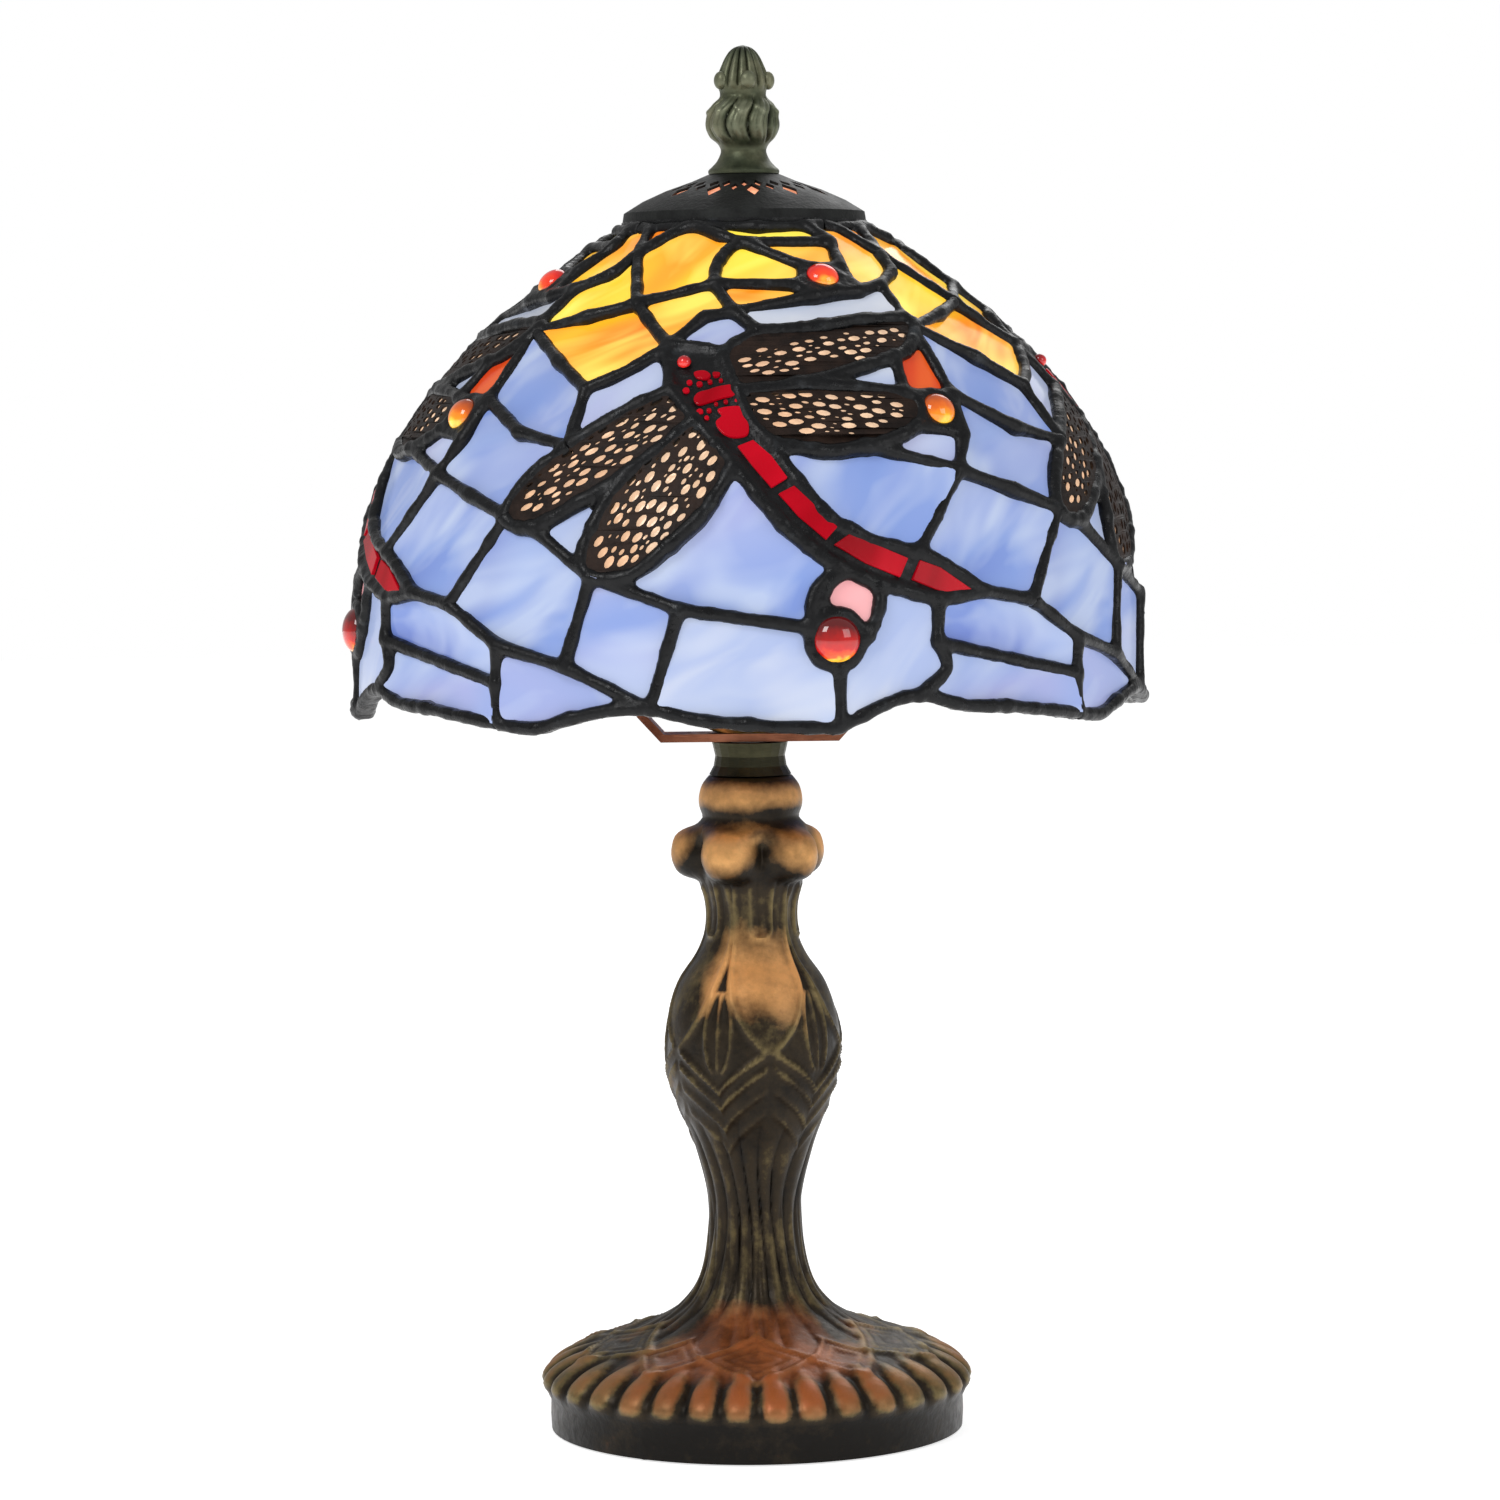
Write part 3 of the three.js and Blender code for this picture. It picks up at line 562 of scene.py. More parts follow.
@dataclass(frozen=True)
class BlackIron(Finish):
    """Near-black matte metal, for the vented cap and the pierced wing sheet."""

    name: str = "blackened_sheet"
    slot: str = "blackened"
    deep: Colour = shade(18, 19, 19)
    rubbed: Colour = shade(44, 46, 45)

    def draw(self, art: Sketch) -> None:
        """Draws mottled black with fine pitting.

        Args:
            art: The node tree to draw in.
        """
        here = art.space()
        blotch = art.noise(here, 150.0, detail=6.0, roughness=0.65)
        colour = art.ramp(blotch, ((0.38, self.deep), (0.75, self.rubbed)))
        art.set(Base_Color=colour, Metallic=0.3, Specular_IOR_Level=0.25)
        art.set(Roughness=art.span(blotch, 0.3, 0.7, 0.42, 0.62))
        art.bump(art.noise(here, 900.0, detail=3.0), 0.0004, 0.4)


@dataclass(frozen=True)
class CastPatina(Finish):
    """Cast metal: dark patina in the hollows and a rubbed colour on what stands proud.

    The casting's wear attribute says how proud a point stands, and is painted lighter where a face turns
    up;
    warmth says how coppery it is, with painted highlights on the knob, the torus and faces turned up or
    toward the front and back.
    """

    name: str
    slot: str
    hollow: Colour
    body: Colour
    rubbed: Colour
    copper: Colour
    gilt_highlight: Colour

    def draw(self, art: Sketch) -> None:
        """Draws patina that follows the relief, with blotches, a cast grain, and rubbed copper mixed with
        painted highlights.

        Args:
            art: The node tree to draw in.
        """
        here = art.space()
        blotch = art.noise(here, 70.0, detail=6.0, roughness=0.62)
        fine = art.noise(here, 420.0, detail=4.0, roughness=0.6)
        wear = art.math("ADD", art.value("wear"), art.span(blotch, 0.25, 0.75, -0.22, 0.22))
        wear = art.math("ADD", wear, art.span(fine, 0.3, 0.7, -0.08, 0.08))
        metal = art.ramp(wear, ((0.12, self.hollow), (0.45, self.body), (0.85, self.rubbed)))
        # Rubbed copper mixed with painted highlights: warmth, blotched, sets how much of it shows.
        warmth = art.math("ADD", art.value("warmth"), art.span(blotch, 0.3, 0.7, -0.25, 0.25))
        warm = art.math("MULTIPLY", art.span(warmth, 0.2, 1.0), art.span(wear, 0.1, 0.6, 0.4, 1.0))
        # The rubbed copper and painted highlight colour runs from redder copper low to gilt high.
        height = art.node("SeparateXYZ", {"Vector": here}).outputs["Z"]
        rub_and_highlight_colour = art.mix(art.span(height, 0.08, 0.125), self.copper, self.gilt_highlight)
        art.set(Base_Color=art.mix(warm, metal, rub_and_highlight_colour), Specular_IOR_Level=0.35)
        art.set(Metallic=art.span(warm, 0.0, 1.0, 0.6, 0.25))
        art.set(Roughness=art.span(fine, 0.3, 0.7, 0.34, 0.5))
        art.bump(fine, 0.0004, 0.35)


@dataclass(frozen=True)
class PlainMetal(Finish):
    """Drawn, rolled or turned metal with a fine grain and handling marks."""

    name: str
    slot: str
    dull: Colour
    bright: Colour
    roughness: float = 0.32
    grain: tuple[float, float, float] = (1.0, 1.0, 6.0)

    def draw(self, art: Sketch) -> None:
        """Draws a stretched grain and soft tarnish.

        Args:
            art: The node tree to draw in.
        """
        tarnish = art.noise(art.space(), 90.0, detail=5.0)
        art.set(Base_Color=art.ramp(tarnish, ((0.3, self.dull), (0.7, self.bright))), Metallic=1.0)
        lines = art.noise(art.space(Space.OBJECT, self.grain), 500.0, detail=3.0)
        art.set(Roughness=art.span(lines, 0.3, 0.7, self.roughness, self.roughness + 0.16))
        art.bump(lines, 0.0002, 0.3)


@dataclass(frozen=True)
class Glaze(Finish):
    """Glazed or moulded insulating body, near even in colour with a speckle and a soft gloss."""

    name: str
    slot: str
    pale: Colour
    deep: Colour
    roughness: float = 0.25
    glow: float = 0.0

    def draw(self, art: Sketch) -> None:
        """Draws a faint cloud of colour and an orange-peel gloss.

        Args:
            art: The node tree to draw in.
        """
        cloud = art.noise(art.space(), 160.0, detail=5.0)
        colour = art.ramp(cloud, ((0.3, self.deep), (0.65, self.pale)))
        art.set(Base_Color=colour, Roughness=self.roughness, Coat_Weight=0.2, Coat_Roughness=0.1)
        if self.glow:
            art.set(Emission_Color=colour, Emission_Strength=self.glow)
        art.bump(art.noise(art.space(), 800.0, detail=2.0), 0.0003, 0.25)


@dataclass(frozen=True)
class PressedFelt(Finish):
    """Dense wool felt with loose fibre."""

    name: str = "pressed_felt"
    slot: str = "felt"

    def draw(self, art: Sketch) -> None:
        """Draws matted fibres in dark green.

        Args:
            art: The node tree to draw in.
        """
        here = art.space()
        fibre = art.noise(here, 1400.0, detail=6.0, roughness=0.7, distortion=1.5)
        colour = art.ramp(fibre, ((0.3, shade(24, 40, 26)), (0.7, shade(52, 74, 50))))
        art.set(Base_Color=colour, Roughness=0.95, Sheen_Weight=0.4, Sheen_Roughness=0.5)
        art.bump(fibre, 0.0006, 0.8)


AMBER = OpalGlass(
    "amber_opal", "amber_glass",
    ((0.2, shade(222, 84, 22)), (0.38, shade(240, 138, 30)), (0.54, shade(246, 180, 38)),
     (0.74, shade(252, 220, 66))),
    wisp=shade(252, 236, 110), wisp_share=0.6, glow=0.62,
)
BLUE = OpalGlass(
    "blue_opal", "blue_glass",
    ((0.24, shade(96, 116, 182)), (0.42, shade(120, 142, 197)), (0.6, shade(142, 156, 201)),
     (0.78, shade(158, 160, 201))),
    wisp=shade(188, 198, 214), wisp_share=0.6, glow=0.43,
)
PALE = OpalGlass(
    "pale_opal", "blue_glass",
    ((0.25, shade(152, 166, 202)), (0.5, shade(176, 186, 208)), (0.8, shade(192, 196, 206))),
    wisp=shade(206, 208, 212), wisp_share=0.5, glow=0.43,
)
PINK = OpalGlass(
    "pink_opal", "blue_glass",
    ((0.25, shade(204, 110, 124)), (0.5, shade(222, 142, 148)), (0.8, shade(230, 170, 172))),
    wisp=shade(236, 196, 194), wisp_share=0.5, glow=0.38,
)
EMBER = OpalGlass(
    "ember_opal", "amber_glass",
    ((0.25, shade(176, 30, 10)), (0.5, shade(206, 56, 16)), (0.78, shade(230, 112, 30))),
    wisp=shade(236, 126, 46), wisp_share=0.4, glow=0.5,
)
RED = OpalGlass(
    "dragonfly_red", "red_glass",
    ((0.25, shade(112, 0, 10)), (0.5, shade(156, 2, 20)), (0.8, shade(190, 8, 32))),
    wisp=shade(200, 14, 36), wisp_share=0.35, glow=0.46, gloss=0.12,
)
PEACH = OpalGlass(
    "wing_glass", "filigree",
    ((0.3, shade(246, 196, 156)), (0.6, shade(250, 208, 170)), (0.85, shade(252, 218, 184))),
    wisp=shade(255, 226, 200), wisp_share=0.4, glow=0.72,
)
# The jewels' stops paint light gathered at the foot and painted shade toward the top.
RUBY = JewelGlass(
    "ruby_jewel_glass", "ruby_jewel",
    ((0.08, shade(255, 190, 50)), (0.17, shade(244, 84, 16)), (0.32, shade(190, 14, 8)),
     (0.8, shade(84, 2, 4))),
    glow=0.45,
)
HONEY = JewelGlass(
    "honey_jewel_glass", "amber_jewel",
    ((0.05, shade(255, 220, 70)), (0.2, shade(240, 142, 16)), (0.5, shade(208, 92, 8)),
     (0.9, shade(138, 50, 4))),
    glow=0.42,
)
CORAL = JewelGlass(
    "coral_jewel_glass", "amber_jewel",
    ((0.05, shade(255, 170, 50)), (0.25, shade(232, 66, 20)), (0.6, shade(206, 24, 14)),
     (0.95, shade(160, 10, 10))),
    glow=0.5,
)
RED_BEAD = JewelGlass(
    "red_bead_glass", "red_glass",
    ((0.05, shade(240, 50, 40)), (0.4, shade(176, 8, 20)), (0.9, shade(96, 2, 8))), glow=0.4,
)
# Painted light: the lit face under the cap glows, standing in for the bulb's light seen through the vents.
WARM_FACE = Glaze("lit_under_cap", "blackened", shade(250, 170, 130), shade(226, 120, 84), 0.6, glow=0.9)
OLIVE = PlainMetal("olive_bronze", "bronze", shade(34, 34, 25), shade(72, 70, 52), 0.38)
SOLDER = SolderBead()
IRON = BlackIron()
FILIGREE = BlackIron("filigree_sheet", "filigree", shade(26, 18, 15), shade(58, 42, 34))
BRONZE = CastPatina(
    "aged_bronze", "bronze", hollow=shade(16, 13, 9), body=shade(50, 41, 28),
    rubbed=shade(132, 116, 76), copper=shade(168, 94, 48), gilt_highlight=shade(250, 186, 112),
)
VERDIGRIS = CastPatina(
    "verdigris_bronze", "verdigris", hollow=shade(26, 30, 22), body=shade(78, 84, 64),
    rubbed=shade(136, 140, 116), copper=shade(104, 92, 64), gilt_highlight=shade(104, 92, 64),
)
COPPER = PlainMetal("coppered_strip", "copper_strap", shade(96, 56, 40), shade(160, 104, 78), 0.36)
BRASS = PlainMetal("plain_brass", "brass", shade(140, 104, 44), shade(206, 168, 92), 0.28)
STEEL = PlainMetal("zinc_steel", "steel", shade(128, 130, 132), shade(196, 198, 198), 0.34)
PORCELAIN = Glaze("glazed_porcelain", "porcelain", shade(240, 235, 224), shade(218, 210, 194))
BLACK_PLASTIC = Glaze("moulded_black", "black_plastic", shade(34, 34, 35), shade(20, 20, 21), 0.45)
LIT_BULB = Glaze("lit_opal_bulb", "opal_bulb", shade(255, 226, 170), shade(252, 208, 138), 0.3, glow=0.62)
FELT = PressedFelt()


# ---- the shade's form and its cartoon -------------------------------------------------------------


@dataclass(frozen=True)
class Dome:
    """The surface that the glass and leading lie on, in millimetres."""

    radius: float = 99.2
    base: float = 195.0
    rise: float = 126.0
    power: float = 2.5

    def reach(self, height: float) -> float:
        """Returns the distance from the axis at a height."""
        return self.radius * (1 - (max(0.0, height - self.base) / self.rise) ** self.power)

    def normal(self, height: float) -> Point2:
        """Works out which way the surface faces.

        Args:
            height: Millimetres over the table.

        Returns:
            The outward and the upward share of the normal.
        """
        slope = self.reach(height - 0.5) - self.reach(height + 0.5)
        length = math.hypot(1.0, slope)
        return 1.0 / length, slope / length

    def point(self, azimuth: float, height: float, offset: float = 0.0) -> Vector:
        """Returns a place on the dome.

        Args:
            azimuth: Degrees to the right of the front.
            height: Millimetres over the table.
            offset: Millimetres outside the surface.

        Returns:
            The place in metres.
        """
        outward, upward = self.normal(height)
        r = self.reach(height) + outward * offset
        a = math.radians(azimuth)
        return Vector((r * math.sin(a), -r * math.cos(a), height + upward * offset)) * MM

    def flat(self, place: Point2, about: Point2) -> Point2:
        """Returns a place as millimetres right of and up the slope from another."""
        across = math.radians(place[0] - about[0]) * self.reach(about[1])
        return across, (place[1] - about[1]) / self.normal(about[1])[0]

    def unflat(self, step: Point2, about: Point2) -> Point2:
        """Returns the place that lies so many millimetres from another."""
        azimuth = about[0] + math.degrees(step[0] / self.reach(about[1]))
        return azimuth, about[1] + step[1] * self.normal(about[1])[0]

    def ring(self, about: Point2, radius: float, angles: Iterable[float]) -> list[Point2]:
        """Returns the places at a radius in millimetres round another, at angles in radians."""
        return [self.unflat((radius * math.cos(a), radius * math.sin(a)), about) for a in angles]


DOME = Dome()


class Bead(Enum):
    """Half widths of solder lines, in millimetres."""

    FIELD = 1.75
    WING = 2.1
    BODY = 1.9


class Glass(Enum):
    """The glass that a pane is cut from."""

    AMBER = "amber"
    BLUE = "blue"
    PALE = "pale"
    PINK = "pink"
    EMBER = "ember"


APERTURE = 303.0
JUNCTIONS: dict[str, Point2] = {
    "ringA": (-53, APERTURE), "ringB": (-25, APERTURE), "ringC": (-20, APERTURE),
    "ringM": (5, APERTURE), "ringD": (28, APERTURE),
    "crownTip": (-38.5, 296), "sliverDip": (-9, 300.4), "peak": (0, 298.7), "quadTop": (33.5, 298.8),
    "leafLeft": (-8, 294), "leafFoot": (-8, 288.5), "leafTip": (18, 292.5), "quadFoot": (29.5, 292.5),
    "jewelWest": (13, 288), "jewelSouth": (17.5, 285.6), "jewelEast": (30, 286.6),
    "stripEnd": (38.5, 288), "heel": (48, 291.5), "kite": (-27, 284), "nape": (-15.5, 273.5),
    "brow": (-9, 280.5), "stripStart": (-2.5, 281.5), "wingShoulder": (2.5, 276.8),
    "wingTipUpper": (37.5, 279.6), "cornerEast": (38.5, 277.5), "amberLine": (-39, 281),
    "amberFoot": (-29.5, 263.5), "amberSide": (-39, 270.5),
    "headRight": (-4, 272), "chestRight": (-1.5, 262.5), "hip": (3.5, 250.5), "tailAR": (7.5, 241.5),
    "tailRight": (12, 232.5), "tailBR": (14.3, 230.3), "tailKnee": (24.5, 224.5),
    "tailTip": (34.5, 215), "tailUnder": (27, 213.5), "tailCL": (20.7, 216.3),
    "pinkRight": (18.5, 217), "pinkLeft": (12.5, 221.5), "tailBL": (8.5, 226.3),
    "tailLeft": (5, 231.5), "tailAL": (1.2, 239), "tailRoot": (-2, 245.5), "waistLeft": (-5, 250.5),
    "armpitLeft": (-8.5, 256), "shoulderLeft": (-13, 263), "armpitRight": (9, 264),
    "upperWingEdge": (16, 277.8), "upperWingLow": (29.8, 270.5), "lowerWingTop": (28.3, 261.5),
    "lowerWingTip": (28.5, 254), "lowerWingLow": (19, 249.5),
    "leftWingTop": (-29, 250), "leftWingTip": (-37.5, 233.5), "leftWingUnder": (-32.5, 231),
    "leftCrotch": (-17.5, 244.5), "lowWingOuter": (-22.5, 231), "lowWingTip": (-22.3, 219.5),
    "lowWingInner": (-11, 227),
    "quadShoulder": (38.3, 261.3), "amberJewelEast": (37, 252), "lilacCorner": (34, 243.5),
    "fieldMid": (50, 253.5), "fieldLow": (43.5, 238.8), "squareFoot": (43.5, 212.5),
    "rubyWest": (8.6, 207.3), "rubyNorth": (11.8, 210.8), "rubyEast": (16.6, 205.5),
    "rubySouth": (12.3, 198), "bandMid": (-9.5, 212), "pinkOuter": (18, 211),
    "stackTop": (-37, 203), "stackMid": (-37.3, 194.2), "stackLeft": (26.6, 203.2),
    "bandLow": (-26, 198.5), "rimHighWest": (-13.5, 188.6), "rimLow": (12.3, 184.3),
    "rimHighEast": (23.7, 191), "rimHeel": (-37, 184.6), "rimMidA": (-25, 186.4),
    "rimMidB": (0, 185), "rimMidC": (38, 187.5),
}

# Each pane is a closed walk, anticlockwise from outside; + and - take the next or previous quarter.
# With it go its glass, the lean of its streaks in degrees, and how far along the glass's colours.
PANES: dict[str, tuple[Glass, float, float, str]] = {
    "crown_sliver": (Glass.AMBER, 20, 0.2, "ringA crownTip ringB"),
    "crown_big": (Glass.AMBER, 70, 0.6, "ringB crownTip kite leafFoot leafLeft peak sliverDip ringC"),
    "crown_top": (Glass.AMBER, 10, 0.85, "ringC sliverDip peak quadTop ringD ringM"),
    "crown_leaf": (Glass.AMBER, 30, 0.85, "peak leafLeft leafFoot jewelWest leafTip"),
    "crown_quad": (Glass.AMBER, 60, 0.3, "peak leafTip quadFoot quadTop"),
    "crown_fan": (Glass.AMBER, 40, 0.45, "ringD quadTop quadFoot jewelEast stripEnd heel crownTip+ ringA+"),
    "crown_low": (Glass.AMBER, 15, 0.15, "leafFoot stripStart jewelSouth jewelWest"),
    "crown_side": (
        Glass.AMBER, 50, 0.6, "heel stripEnd wingTipUpper cornerEast amberLine+ kite+ crownTip+",
    ),
    "crown_neck": (Glass.AMBER, 35, 0.3, "kite nape brow stripStart leafFoot"),
    "crown_streak": (Glass.AMBER, 30, 0.4, "amberLine cornerEast- amberSide amberFoot nape kite"),
    "pale_strip": (
        Glass.PALE, 10, 0.95,
        "stripStart wingShoulder upperWingEdge wingTipUpper stripEnd jewelEast jewelSouth",
    ),
    "head_pane": (Glass.BLUE, 30, 0.7, "nape headRight wingShoulder stripStart brow"),
    "neck_pane": (Glass.BLUE, 60, 0.7, "nape amberFoot leftWingTop shoulderLeft"),
    "gap_right": (Glass.PALE, 10, 0.5, "armpitRight lowerWingTop upperWingLow"),
    "ember": (Glass.EMBER, 80, 0.5, "upperWingLow lowerWingTop quadShoulder cornerEast"),
    "lilac_right": (Glass.BLUE, 40, 0.8, "lowerWingLow lilacCorner amberJewelEast lowerWingTip"),
    "field_right": (
        Glass.BLUE, 55, 0.45, "hip tailAR tailRight tailBR tailKnee lilacCorner lowerWingLow",
    ),
    "gap_left": (Glass.PALE, 50, 0.2, "leftCrotch leftWingUnder lowWingTip lowWingOuter"),
    "side_upper": (
        Glass.BLUE, 60, 0.55, "cornerEast quadShoulder fieldMid leftWingTop+ amberFoot+ amberSide+",
    ),
    "side_lower": (
        Glass.BLUE, 20, 0.4,
        "quadShoulder amberJewelEast lilacCorner fieldLow leftWingTip+ leftWingTop+ fieldMid",
    ),
    "square": (Glass.BLUE, 45, 0.6, "lilacCorner tailKnee tailTip squareFoot leftWingTip+ fieldLow"),
    "field_left": (
        Glass.BLUE, 35, 0.65,
        "tailRoot lowWingInner lowWingTip bandMid rubyWest pinkLeft tailBL tailLeft tailAL",
    ),
    "band_a": (Glass.BLUE, 30, 0.25, "leftWingTip squareFoot- stackTop bandLow lowWingTip leftWingUnder"),
    "band_b": (Glass.BLUE, 15, 0.65, "lowWingTip bandLow rimHighWest bandMid"),
    "band_c": (Glass.BLUE, 10, 0.7, "stackTop stackMid rimHeel rimMidA rimHighWest bandLow"),
    "band_d": (Glass.PALE, 20, 0.2, "bandMid rimHighWest rimMidB rimLow rubySouth rubyWest"),
    "pink": (Glass.PINK, 70, 0.5, "pinkLeft rubyWest rubyNorth rubyEast pinkOuter pinkRight"),
    "curve": (
        Glass.PALE, 50, 0.1,
        "pinkRight pinkOuter rubyEast rubySouth rimLow rimHighEast stackLeft tailUnder tailCL",
    ),
    "stack_a": (Glass.BLUE, 10, 0.25, "tailTip tailUnder stackLeft stackMid+ stackTop+ squareFoot"),
    "stack_b": (Glass.BLUE, 15, 0.7, "stackLeft rimHighEast rimMidC rimHeel+ stackMid+"),
}

# Solder lines that bend smoothly; a pair of numbers is a bend with no junction.
Item = str | Point2
CURVES: tuple[tuple[Bead, tuple[Item, ...]], ...] = (
    (Bead.WING, ("wingShoulder", (8, 277.2), "upperWingEdge", (25, 279.2), "wingTipUpper", "cornerEast",
                 (34, 272.5), "upperWingLow", (20, 267.3), "armpitRight", "chestRight")),
    (Bead.WING, ("armpitRight", (19, 263.3), "lowerWingTop", (30.6, 258), "lowerWingTip", (24, 251.2),
                 "lowerWingLow", (12, 248.4), "hip")),
    (Bead.WING, ("shoulderLeft", (-20, 258.5), "leftWingTop", (-35, 242), "leftWingTip", "leftWingUnder",
                 (-25, 237), "leftCrotch", "armpitLeft")),
    (Bead.WING, ("leftCrotch", (-20.5, 238), "lowWingOuter", (-23.7, 225), "lowWingTip", (-16.5, 220),
                 "lowWingInner", (-6, 235), "tailRoot")),
    (Bead.BODY, ("wingShoulder", "headRight", (-3, 267), "chestRight", (0.5, 256), "hip", "tailAR",
                 "tailRight", "tailBR", (18.5, 227), "tailKnee", (29.5, 220.5), "tailTip")),
    (Bead.BODY, ("headRight", "nape", (-14.3, 268), "shoulderLeft", "armpitLeft", "waistLeft",
                 "tailRoot", "tailAL", "tailLeft", "tailBL", "pinkLeft", "pinkRight", "tailCL",
                 "tailUnder", "tailTip")),
    (Bead.FIELD, ("crownTip", (-32, 301), "ringB")),
    (Bead.FIELD, ("ringA", (-45, 302), "crownTip")),
    (Bead.FIELD, ("peak", (-5, 297.4), "leafLeft", (-8.5, 291.5), "leafFoot")),
    (Bead.FIELD, ("leafTip", (15.5, 289.5), "jewelWest")),
    (Bead.FIELD, ("pinkRight", "pinkOuter", "rubyEast")),
    (Bead.FIELD, ("pinkLeft", (9, 215), "rubyWest")),
    (Bead.FIELD, ("stackLeft", (28, 197), "rimHighEast")),
    (Bead.FIELD, ("nape", (-22, 268), "amberFoot")),
    (Bead.FIELD, ("rimHeel", (-31, 183.8), "rimMidA", (-19, 188.4), "rimHighWest", (-7, 186.2), "rimMidB",
                  (6, 184.2), "rimLow", (18, 188.6), "rimHighEast", (31, 188.2), "rimMidC",
                  (46, 186), "rimHeel+")),
)

# Walks of the patches that are solder all over: under the jewels and along the dragonfly's body.
PADS = (
    "jewelWest jewelSouth jewelEast quadFoot leafTip",
    "quadShoulder lowerWingTop lowerWingTip amberJewelEast",
    "rubyNorth rubyWest rubySouth rubyEast",
    "headRight nape shoulderLeft armpitLeft waistLeft tailRoot tailAL tailLeft tailBL pinkLeft pinkRight "
    "tailCL tailUnder tailTip tailKnee tailBR tailRight tailAR hip chestRight",
)


def smooth_run(points: Sequence[Point2], closed: bool = False, steps: int = 6) -> list[Point2]:
    """Runs a smooth line through points.

    Args:
        points: Points that the line passes.
        closed: Whether it comes back to its start.
        steps: Points on each span.

    Returns:
        The line's points; an open line keeps both ends.
    """
    count = len(points)
    line = []
    for i in range(count if closed else count - 1):
        p = [np.array(points[(i + k) % count if closed else min(max(i + k, 0), count - 1)], float)
             for k in (-1, 0, 1, 2)]
        for s in range(steps):
            t = s / steps
            line.append(tuple(0.5 * (
                2 * p[1] + (p[2] - p[0]) * t + (2 * p[0] - 5 * p[1] + 4 * p[2] - p[3]) * t * t
                + (3 * p[1] - p[0] - 3 * p[2] + p[3]) * t ** 3
            )))
    return line if closed else line + [tuple(map(float, points[-1]))]


def inside(points: np.ndarray, outline: Sequence[Point2]) -> np.ndarray:
    """Tells which points lie in an outline.

    Args:
        points: n rows of x and y.
        outline: The outline's corners.

    Returns:
        One truth value for each point.
    """
    within = np.zeros(len(points), bool)
    x, y = points[:, 0], points[:, 1]
    for (ax, ay), (bx, by) in zip(outline, [*outline[1:], outline[0]]):
        crosses = (ay > y) != (by > y)
        at = ax + (y - ay) * (bx - ax) / ((by - ay) or 1e-12)
        within ^= crosses & (x < at)
    return within


Corner = tuple[str, int]


class Cartoon:
    """The full-size drawing of one quarter: where every solder line runs."""

    def __init__(self) -> None:
        """Draws the curved lines; all others are straight."""
        self.runs: dict[tuple[str, str, int], tuple[list[Point2], Bead]] = {}
        for bead, items in CURVES:
            self.draw(items, bead)

    @staticmethod
    def corner(name: str) -> Corner:
        """Splits a walk's name into a junction and a number of quarters."""
        return name.rstrip("+-"), name.count("+") - name.count("-")

    @staticmethod
    def place(corner: Corner) -> Point2:
        """Returns where a corner is."""
        azimuth, height = JUNCTIONS[corner[0]]
        return azimuth + corner[1] * 360 / QUARTERS, height

    def draw(self, items: Sequence[Item], bead: Bead) -> None:
        """Draws a smooth line and keeps each stretch between two junctions.

        Args:
            items: Names of junctions, with free bends between them.
            bead: The solder that runs along it.
        """
        line = smooth_run([self.place(self.corner(i)) if isinstance(i, str) else i for i in items])
        steps = (len(line) - 1) // (len(items) - 1)
        named = [k for k, item in enumerate(items) if isinstance(item, str)]
        for start, end in pairwise(named):
            (a, shift), (b, other) = self.corner(items[start]), self.corner(items[end])
            turn = shift * 360 / QUARTERS
            stretch = [(x - turn, y) for x, y in line[start * steps:end * steps + 1]]
            self.runs[a, b, other - shift] = stretch, bead

    def run(self, start: Corner, end: Corner) -> tuple[list[Point2], Bead]:
        """Returns the line between two neighbouring corners.

        Args:
            start: Its first corner.
            end: Its last corner.

        Returns:
            Its points from start to end, and its bead.
        """
        (a, s), (b, t) = start, end
        if (a, b, t - s) in self.runs:
            line, bead = self.runs[a, b, t - s]
            return [(x + s * 360 / QUARTERS, y) for x, y in line], bead
        if (b, a, s - t) in self.runs:
            line, bead = self.runs[b, a, s - t]
            return [(x + t * 360 / QUARTERS, y) for x, y in reversed(line)], bead
        return [self.place(start), self.place(end)], Bead.FIELD

    def outline(self, walk: str) -> list[Point2]:
        """Returns a pane's outline, each point once."""
        corners = [self.corner(name) for name in walk.split()]
        return [p for a, b in zip(corners, [*corners[1:], corners[0]]) for p in self.run(a, b)[0][:-1]]

    def leads(self, walks: Iterable[str]) -> list[tuple[list[Point2], Bead]]:
        """Finds the solder lines round these walks.

        Args:
            walks: Walks of panes, wings or pads.

        Returns:
            Each line once, as its points and its bead.
        """
        seen: dict[tuple, tuple[list[Point2], Bead]] = {}
        for walk in walks:
            corners = [self.corner(name) for name in walk.split()]
            for a, b in zip(corners, [*corners[1:], corners[0]]):
                first, last = sorted((a, b))
                seen.setdefault((first[0], last[0], last[1] - first[1]), self.run(a, b))
        return list(seen.values())


# ---- the shade -----------------------------------------------------------------------------------

PANE_GLASS: dict[Glass, OpalGlass] = {
    Glass.AMBER: AMBER, Glass.BLUE: BLUE, Glass.PALE: PALE, Glass.PINK: PINK, Glass.EMBER: EMBER,
}


